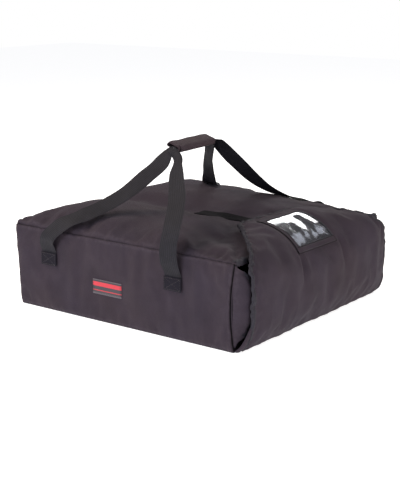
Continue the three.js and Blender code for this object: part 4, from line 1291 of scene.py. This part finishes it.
def ribbon(name, centres, across, face, run, parts, beside, spreads):
    """Webbing along a route, cut into parts at the given ring numbers. In the grip it is gathered
    and lies off the middle by the distance beside. It opens over the spreads, left and right."""
    half, thick = WEB_WIDTH / 2, WEB_THICKNESS / 2
    steps = np.linspace(-1, 1, 9)
    section = [(u, -1) for u in steps] + [(u, 1) for u in steps[::-1]]
    spread = np.where(centres[:, :1] < 0, *spreads)
    opened = smooth((np.abs(centres[:, :1]) - GRIP_END) / spread)
    width = half * (GATHERED_SHARE + (1 - GATHERED_SHARE) * opened)
    cup = GATHERED_CUP * (1 - opened)
    centres = centres + (1 - opened) * np.array([0, beside, beside * math.tan(GRIP_TILT)])
    rings = np.stack([centres + across * width * u + face * (
        thick * v * (1 - 0.6 * u ** 8) - cup * u * u) for u, v in section], 1)
    uv = np.stack([np.stack([np.full(len(run), u * half), run], -1) for u, _ in section], 1)
    return [swept(f"{name}_{part}", rings[a:b + 1], uv[a:b + 1], WEBBING, sharp=70)
            for part, a, b in parts]


def strap(node, end_y, left_bends, right_bends, mouths, pass_z, beside, spreads):
    """One strap as two sewn ends and a span between them. Where it nears the grip it turns with it
    about the vertical."""
    left = leg(-1, end_y, left_bends, mouths[0], pass_z)
    right = leg(1, end_y, right_bends, mouths[1], pass_z)
    centres, run, twist = centripetal(left + right[::-1], STRAP_STEP)
    off = centres[:, 0]
    centres[:, 1] += GRIP_TURN * off * (1 - smooth(np.abs(off), *TURN_FADE))
    along = np.gradient(centres, axis=0)
    along /= np.linalg.norm(along, axis=1)[:, None]
    level = np.array([0, -1, 0]) + along * along[:, 1:2]
    level /= np.linalg.norm(level, axis=1)[:, None]
    up = np.cross(level, along)
    turn = twist[:, None]
    across = level * np.cos(turn) - up * np.sin(turn)
    face = np.cross(across, along)
    free = np.nonzero(centres[:, 2] > SLACK_START)[0]
    first, last = free[0], free[-1]
    parts = [("left_end", 0, first), ("span", first, last), ("right_end", last, len(run) - 1)]
    left_end, span, right_end = ribbon(
        node, centres, across, face, run, parts, beside, spreads)
    for piece in (left_end, span, right_end):
        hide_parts(node)
        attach(piece, "bag")
    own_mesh(span)


strap("strap_rear", REAR_Y, REAR_LEFT, REAR_RIGHT, (REAR_MOUTH, REAR_MOUTH),
      pass_z=GRIP_Z - 0.0012, beside=0.003, spreads=(0.03, 0.032))
strap("strap_front", FRONT_Y, FRONT_LEFT, FRONT_RIGHT, (FRONT_MOUTH_LEFT, FRONT_MOUTH_RIGHT),
      pass_z=GRIP_Z + 0.0012, beside=-0.003, spreads=(0.075, 0.02))

# Sewing thread on the flap: two rows of lock stitch, through the binding tape and round the
# pocket's tapes. Each stitch is a small bead that sinks in at both ends.
STITCH_PITCH = 0.0042
STITCH_LENGTH = 0.003
THREAD_RADIUS = 0.00035
THREAD_INSET = 0.002
# Along a stitch: a place in shares of its length, its girth, and how far it sinks, in radii.
STITCH_PROFILE = ((-0.5, 0.4, 0.8), (-0.25, 1.0, 0.0), (0.25, 1.0, 0.0), (0.5, 0.4, 0.8))

# Thread: bonded polyester, twisted, dark grey and slightly shiny. Its twist is drawn at 0.6 mm, with
# painted shade between its turns.
THREAD = ribbed_tape("sewing_thread", "#3a363b", rib_mm=0.6, groove_shade=0.8, roughness=0.5)


def stitch_row(points, normals):
    """Rings of points for the stitches along a line of points and their normals."""
    run = travelled(points)
    centres = np.arange(STITCH_PITCH / 2, run[-1] - STITCH_PITCH / 3, STITCH_PITCH)
    rings = []
    for offset, size, sink in STITCH_PROFILE:
        at = np.clip(centres + offset * STITCH_LENGTH, 0, run[-1])
        place, up, ahead = [at_distances(at, run, values)
                            for values in (points, normals, np.gradient(points, axis=0))]
        up /= np.linalg.norm(up, axis=1)[:, None]
        side = np.cross(up, ahead)
        side /= np.linalg.norm(side, axis=1)[:, None]
        place = place - up * sink * THREAD_RADIUS
        rings.append(np.stack([place + size * THREAD_RADIUS * (side * a + up * b)
                               for a, b in ((1, 0), (0, 1), (-1, 0), (0, -1))], 1))
    return np.stack(rings, 1)


def stitching(name, rows):
    """One mesh of all the stitches in the rows of rings."""
    beads = np.concatenate(rows)
    number = np.arange(beads[..., 0].size).reshape(beads.shape[:3])
    ahead = np.roll(number, -1, axis=2)
    walls = np.stack([number[:, :-1], ahead[:, :-1], ahead[:, 1:], number[:, 1:]], -1)
    faces = np.concatenate([walls.reshape(-1, 4), number[:, 0, ::-1], number[:, -1]])
    mesh = bpy.data.meshes.new(name)
    mesh.from_pydata(beads.reshape(-1, 3).tolist(), [], faces.tolist())
    mesh.materials.append(THREAD)
    thread = finish_mesh(mesh, np.zeros((number.size, 2)))
    return thread


def pattern_row(corners, height):
    """A stitch row on the flap's face along a broken line of pattern places."""
    path = resampled(corners, 0.0015, 0.001)
    x, s = path[:, 0], path[:, 1]
    base = height(x, s)
    points = flap_point(x, s, base)
    return stitch_row(points, flap_point(x, s, base + 0.001) - points)


def build_flap_thread():
    """A row through the flap's binding, and two round the pocket's tapes."""
    end = float(flap_edge(FLAP_LENGTH))
    inset = TAPE_SHOWN - 0.0018
    half, tip = FLAP_HALF_WIDTH - inset, end - inset * 0.55
    rim = pattern_row([
        (-half, 0.004), (-half, CHAMFER_START - 0.002), (-tip, FLAP_LENGTH - inset),
        (tip, FLAP_LENGTH - inset), (half, CHAMFER_START - 0.002), (half, 0.004)],
        lambda x, s: flap_ruffle(x, s) + flap_half_stack(x, s) + TAPE_THICKNESS + 0.0002)
    rows = [rim]
    right = POCKET_RIGHT - THREAD_INSET
    for inset in (THREAD_INSET, FRAME_WIDTH - THREAD_INSET):
        left, low, high = POCKET_LEFT + inset, POCKET_LOW + inset, POCKET_HIGH - inset
        rows.append(pattern_row([(right, low), (left, low), (left, high), (right, high)],
                                lambda x, s: flap_face(x, s) + 0.0023))
    bend_flap(stitching("flap_thread", rows))


build_flap_thread()

# Patches and label: a square of black cloth is sewn over each strap end, round its edge and
# across both diagonals. The label is a small woven patch, sewn round its edge on the left side.
PATCH_THICKNESS = 0.0006
LABEL_THICKNESS = 0.0004
SEAM_INSET = 0.0022

# Patch cloth: black polyester of a heavier yarn than the outer cloth, flat and without sheen.
PATCH = woven_cloth("patch_cloth", "#1d1b22", "#2a272d", yarn_mm=0.7, sheen=0.0, roughness=0.8)


def flat_patch(name, node, side, material, slot, thickness):
    """A patch over a node's box on a side panel, puffed up inside its row of stitches."""
    low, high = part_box(node)
    y = np.linspace(low[1], high[1], 33)[:, None]
    z = np.linspace(low[2], high[2], 23)[None, :]
    room = np.minimum(np.minimum(y - low[1], high[1] - y), np.minimum(z - low[2], high[2] - z))
    x0 = low[0] if side > 0 else -high[0]
    rise = 0.0006 * smooth(room, 0, 0.003) + 0.0003 * smooth(room, 0.003, 0.009)
    front = stacked(side * (x0 + thickness + rise), y, z)
    back = stacked(side * x0, y, z)
    uv = stacked(y, z)
    patch = closed_sheet(name, front, back, uv, [material], np.exp(-room / 0.002) * 0.5)
    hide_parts(node)
    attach(patch, "bag")
    y0, y1 = low[1] + SEAM_INSET, high[1] - SEAM_INSET
    z0, z1 = low[2] + SEAM_INSET, high[2] - SEAM_INSET
    lines = [[(y0, z0), (y1, z0), (y1, z1), (y0, z1), (y0, z0)]]
    if slot == "cloth":
        lines += [[(y0, z0), (y1, z1)], [(y0, z1), (y1, z0)]]
    rows = []
    for line in lines:
        path = resampled(line, 0.001, 0.0005)
        points = stacked(side * (x0 + thickness + 0.001), path[:, 0], path[:, 1])
        rows.append(stitch_row(points, np.tile([side, 0.0, 0.0], (len(path), 1))))
    thread = stitching(f"{name}_thread", rows)
    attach(thread, "bag")


for side_name, side in (("left", -1), ("right", 1)):
    for place in ("rear", "front"):
        flat_patch(f"patch_{place}_{side_name}", f"strap_patch_{place}_{side_name}", side, PATCH,
                   "cloth", PATCH_THICKNESS)


def label_cloth():
    """Woven label: fine polyester thread, so it is flat and even, with crisp bands. A broad and a
    narrow red band lie on a dark grey ground between two pale rims."""
    material, tree, shader, _ = new_material("woven_label")
    uv = add_node(tree, "ShaderNodeUVMap").outputs["UV"]
    parts = add_node(tree, "ShaderNodeSeparateXYZ", {0: uv})
    low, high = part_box("side_label")
    height = add_node(tree, "ShaderNodeMapRange", {
        "Value": parts.outputs["Y"], "From Min": low[2], "From Max": high[2]}).outputs["Result"]
    bands = add_node(tree, "ShaderNodeValToRGB", {"Fac": height})
    stops = [(0.0, "#5a5459"), (0.12, "#3b373c"), (0.24, "#b0323b"), (0.31, "#3b373c"),
             (0.56, "#c23440"), (0.84, "#3b373c"), (0.94, "#5a5459")]
    bands.color_ramp.interpolation = "CONSTANT"
    ramp_stops = bands.color_ramp.elements
    for at, colour in stops:
        stop = ramp_stops.new(at)
        stop.color = linear(colour)
    ramp_stops.remove(ramp_stops[0])
    ramp_stops.remove(ramp_stops[len(ramp_stops) - 1])
    tree.links.new(bands.outputs["Color"], shader.inputs["Base Color"])
    threads = add_node(tree, "ShaderNodeTexWave", {
        "Vector": uv, "Scale": wave_scale(0.4547)}, bands_direction="Y")
    bump = add_node(tree, "ShaderNodeBump", {
        "Height": threads.outputs["Fac"], "Strength": 0.3, "Distance": 0.0002})
    tree.links.new(bump.outputs["Normal"], shader.inputs["Normal"])
    shader.inputs["Roughness"].default_value = 0.7
    return material


flat_patch("label_patch", "side_label", -1, label_cloth(), "label", LABEL_THICKNESS)

# Grip: a padded cloth sleeve round both straps. Its cover is sewn along the top, comes down over
# the front and closes below on a pair of hook and loop tapes.
GRIP_RADIUS = 0.0052
GRIP_FLAT = 0.016 - GRIP_RADIUS
SLEEVE_FULLNESS = 0.0004
SLEEVE_MOUTH_RADIUS = 0.0034
SLEEVE_POINTS = 17
COVER_END = 1.85
GRIP_TAPE_WIDTH = 0.014

# Grip cloth: the outer cloth again, matt, coloured a little lighter and browner.
GRIP_CLOTH = woven_cloth("grip_cloth", "#3d3337", "#4a4145", yarn_mm=0.6, sheen=0.03, roughness=0.8)


def grip_place(x, y, z):
    """A place of the level grip's section, tipped forward about the straps and turned with them."""
    turn_y = y * math.cos(GRIP_TILT) - z * math.sin(GRIP_TILT) + GRIP_TURN * x
    turn_z = y * math.sin(GRIP_TILT) + z * math.cos(GRIP_TILT)
    return stacked(x, GRIP_Y + turn_y, GRIP_Z + turn_z)


def pill(count, radius, flat):
    """Places (y, z) round a flat-topped section, from the top's front edge down over the front."""
    turn = np.linspace(math.pi / 2, 1.5 * math.pi, count)
    front = np.stack([-flat + radius * np.cos(turn), radius * np.sin(turn)], -1)
    return np.concatenate([front, -front])


def build_grip():
    """The sleeve: a wall round both straps, open at its two ends."""
    low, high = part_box("grip_wrap")
    x = np.linspace(low[0], high[0], 57)
    rings, uvs = [], []
    for along in x:
        ends = np.exp(-(high[0] - abs(along)) / 0.002)
        outer = pill(SLEEVE_POINTS, GRIP_RADIUS + SLEEVE_FULLNESS - 0.0012 * ends, GRIP_FLAT)
        ruffle = 0.0004 * wander(
            np.full(len(outer), along), np.arange(len(outer)) * 0.003, 0.03, 161)
        outer = outer * (1 + ruffle[:, None] / GRIP_RADIUS)
        rings.append(grip_place(along, outer[:, 0], outer[:, 1]))
        around = np.arange(len(outer)) * 0.0036
        uvs.append(np.stack([around, np.full(len(outer), along)], -1))
    outer_rings = np.array(rings)
    mouth = pill(SLEEVE_POINTS, SLEEVE_MOUTH_RADIUS, GRIP_FLAT - 0.001)
    inner_rings = np.array([grip_place(along, mouth[:, 0], mouth[:, 1]) for along in x])
    count, size = outer_rings.shape[:2]
    points = np.concatenate([outer_rings.reshape(-1, 3), inner_rings.reshape(-1, 3)])
    number = np.arange(count * size).reshape(count, size)
    ahead = np.roll(number, -1, axis=1)
    wall = ring_quads(number)
    shift = count * size
    ends = [np.stack([number[n], ahead[n], ahead[n] + shift, number[n] + shift], -1)
            for n in (0, -1)]
    faces = np.concatenate([wall, wall + shift, *ends])
    mesh = bpy.data.meshes.new("grip_sleeve")
    mesh.from_pydata(points.tolist(), [], faces.tolist())
    mesh.materials.append(GRIP_CLOTH)
    uv = np.concatenate([np.array(uvs).reshape(-1, 2)] * 2)
    sleeve = finish_mesh(mesh, uv)
    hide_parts("grip_wrap")
    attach(sleeve, "handle")


def grip_station(station, off):
    """Places (y, z) off the sleeve: round its front from the top's edge at 0 to the bottom's at
    1, then back along the bottom."""
    turn = math.pi / 2 * (1 + 2 * np.minimum(station, 1))
    back = 2 * GRIP_FLAT * np.maximum(station - 1, 0)
    radius = GRIP_RADIUS + off
    return back - GRIP_FLAT + radius * np.cos(turn), radius * np.sin(turn)


def grip_sheet(name, stations, off, thickness, material, node, body):
    """A sheet that lies round the sleeve from station to station, off it by off(station)."""
    low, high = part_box(node)
    station = stations[:, None]
    x = np.linspace(low[0], high[0], 49)[None, :]
    room = np.minimum(np.minimum(x - low[0], high[0] - x), 0.02)
    lift = off(station) + 0.0002 * wander(x, station * 0.02, 0.03, 171) * smooth(room, 0, 0.01)
    inner = grip_station(station + 0 * x, lift)
    outer = grip_station(station + 0 * x, lift + thickness)
    front = grip_place(x, *outer)
    back = grip_place(x, *inner)
    uv = stacked(station * 0.03, x)
    sheet = closed_sheet(name, front, back, uv, [material])
    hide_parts(node)
    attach(sheet, body)


def build_grip_cover():
    """The cover, and the loop and hook tapes between it and the sleeve."""
    tape = np.linspace(COVER_END - GRIP_TAPE_WIDTH / (2 * GRIP_FLAT), COVER_END, 8)
    grip_sheet("grip_cover", np.linspace(0, COVER_END, 40), lambda t: 0.0005 + 0.0014 * smooth(t),
               0.0016, GRIP_CLOTH, "grip_closure", "grip_cover")
    grip_sheet("grip_loop", tape, lambda t: 0.0005 + 0 * t, 0.0009, LOOP,
               "grip_loop_tape", "handle")
    grip_sheet("grip_hook", tape, lambda t: 0.0019 + 0 * t, 0.001, HOOK,
               "grip_hook_tape", "grip_cover")


build_grip()
build_grip_cover()
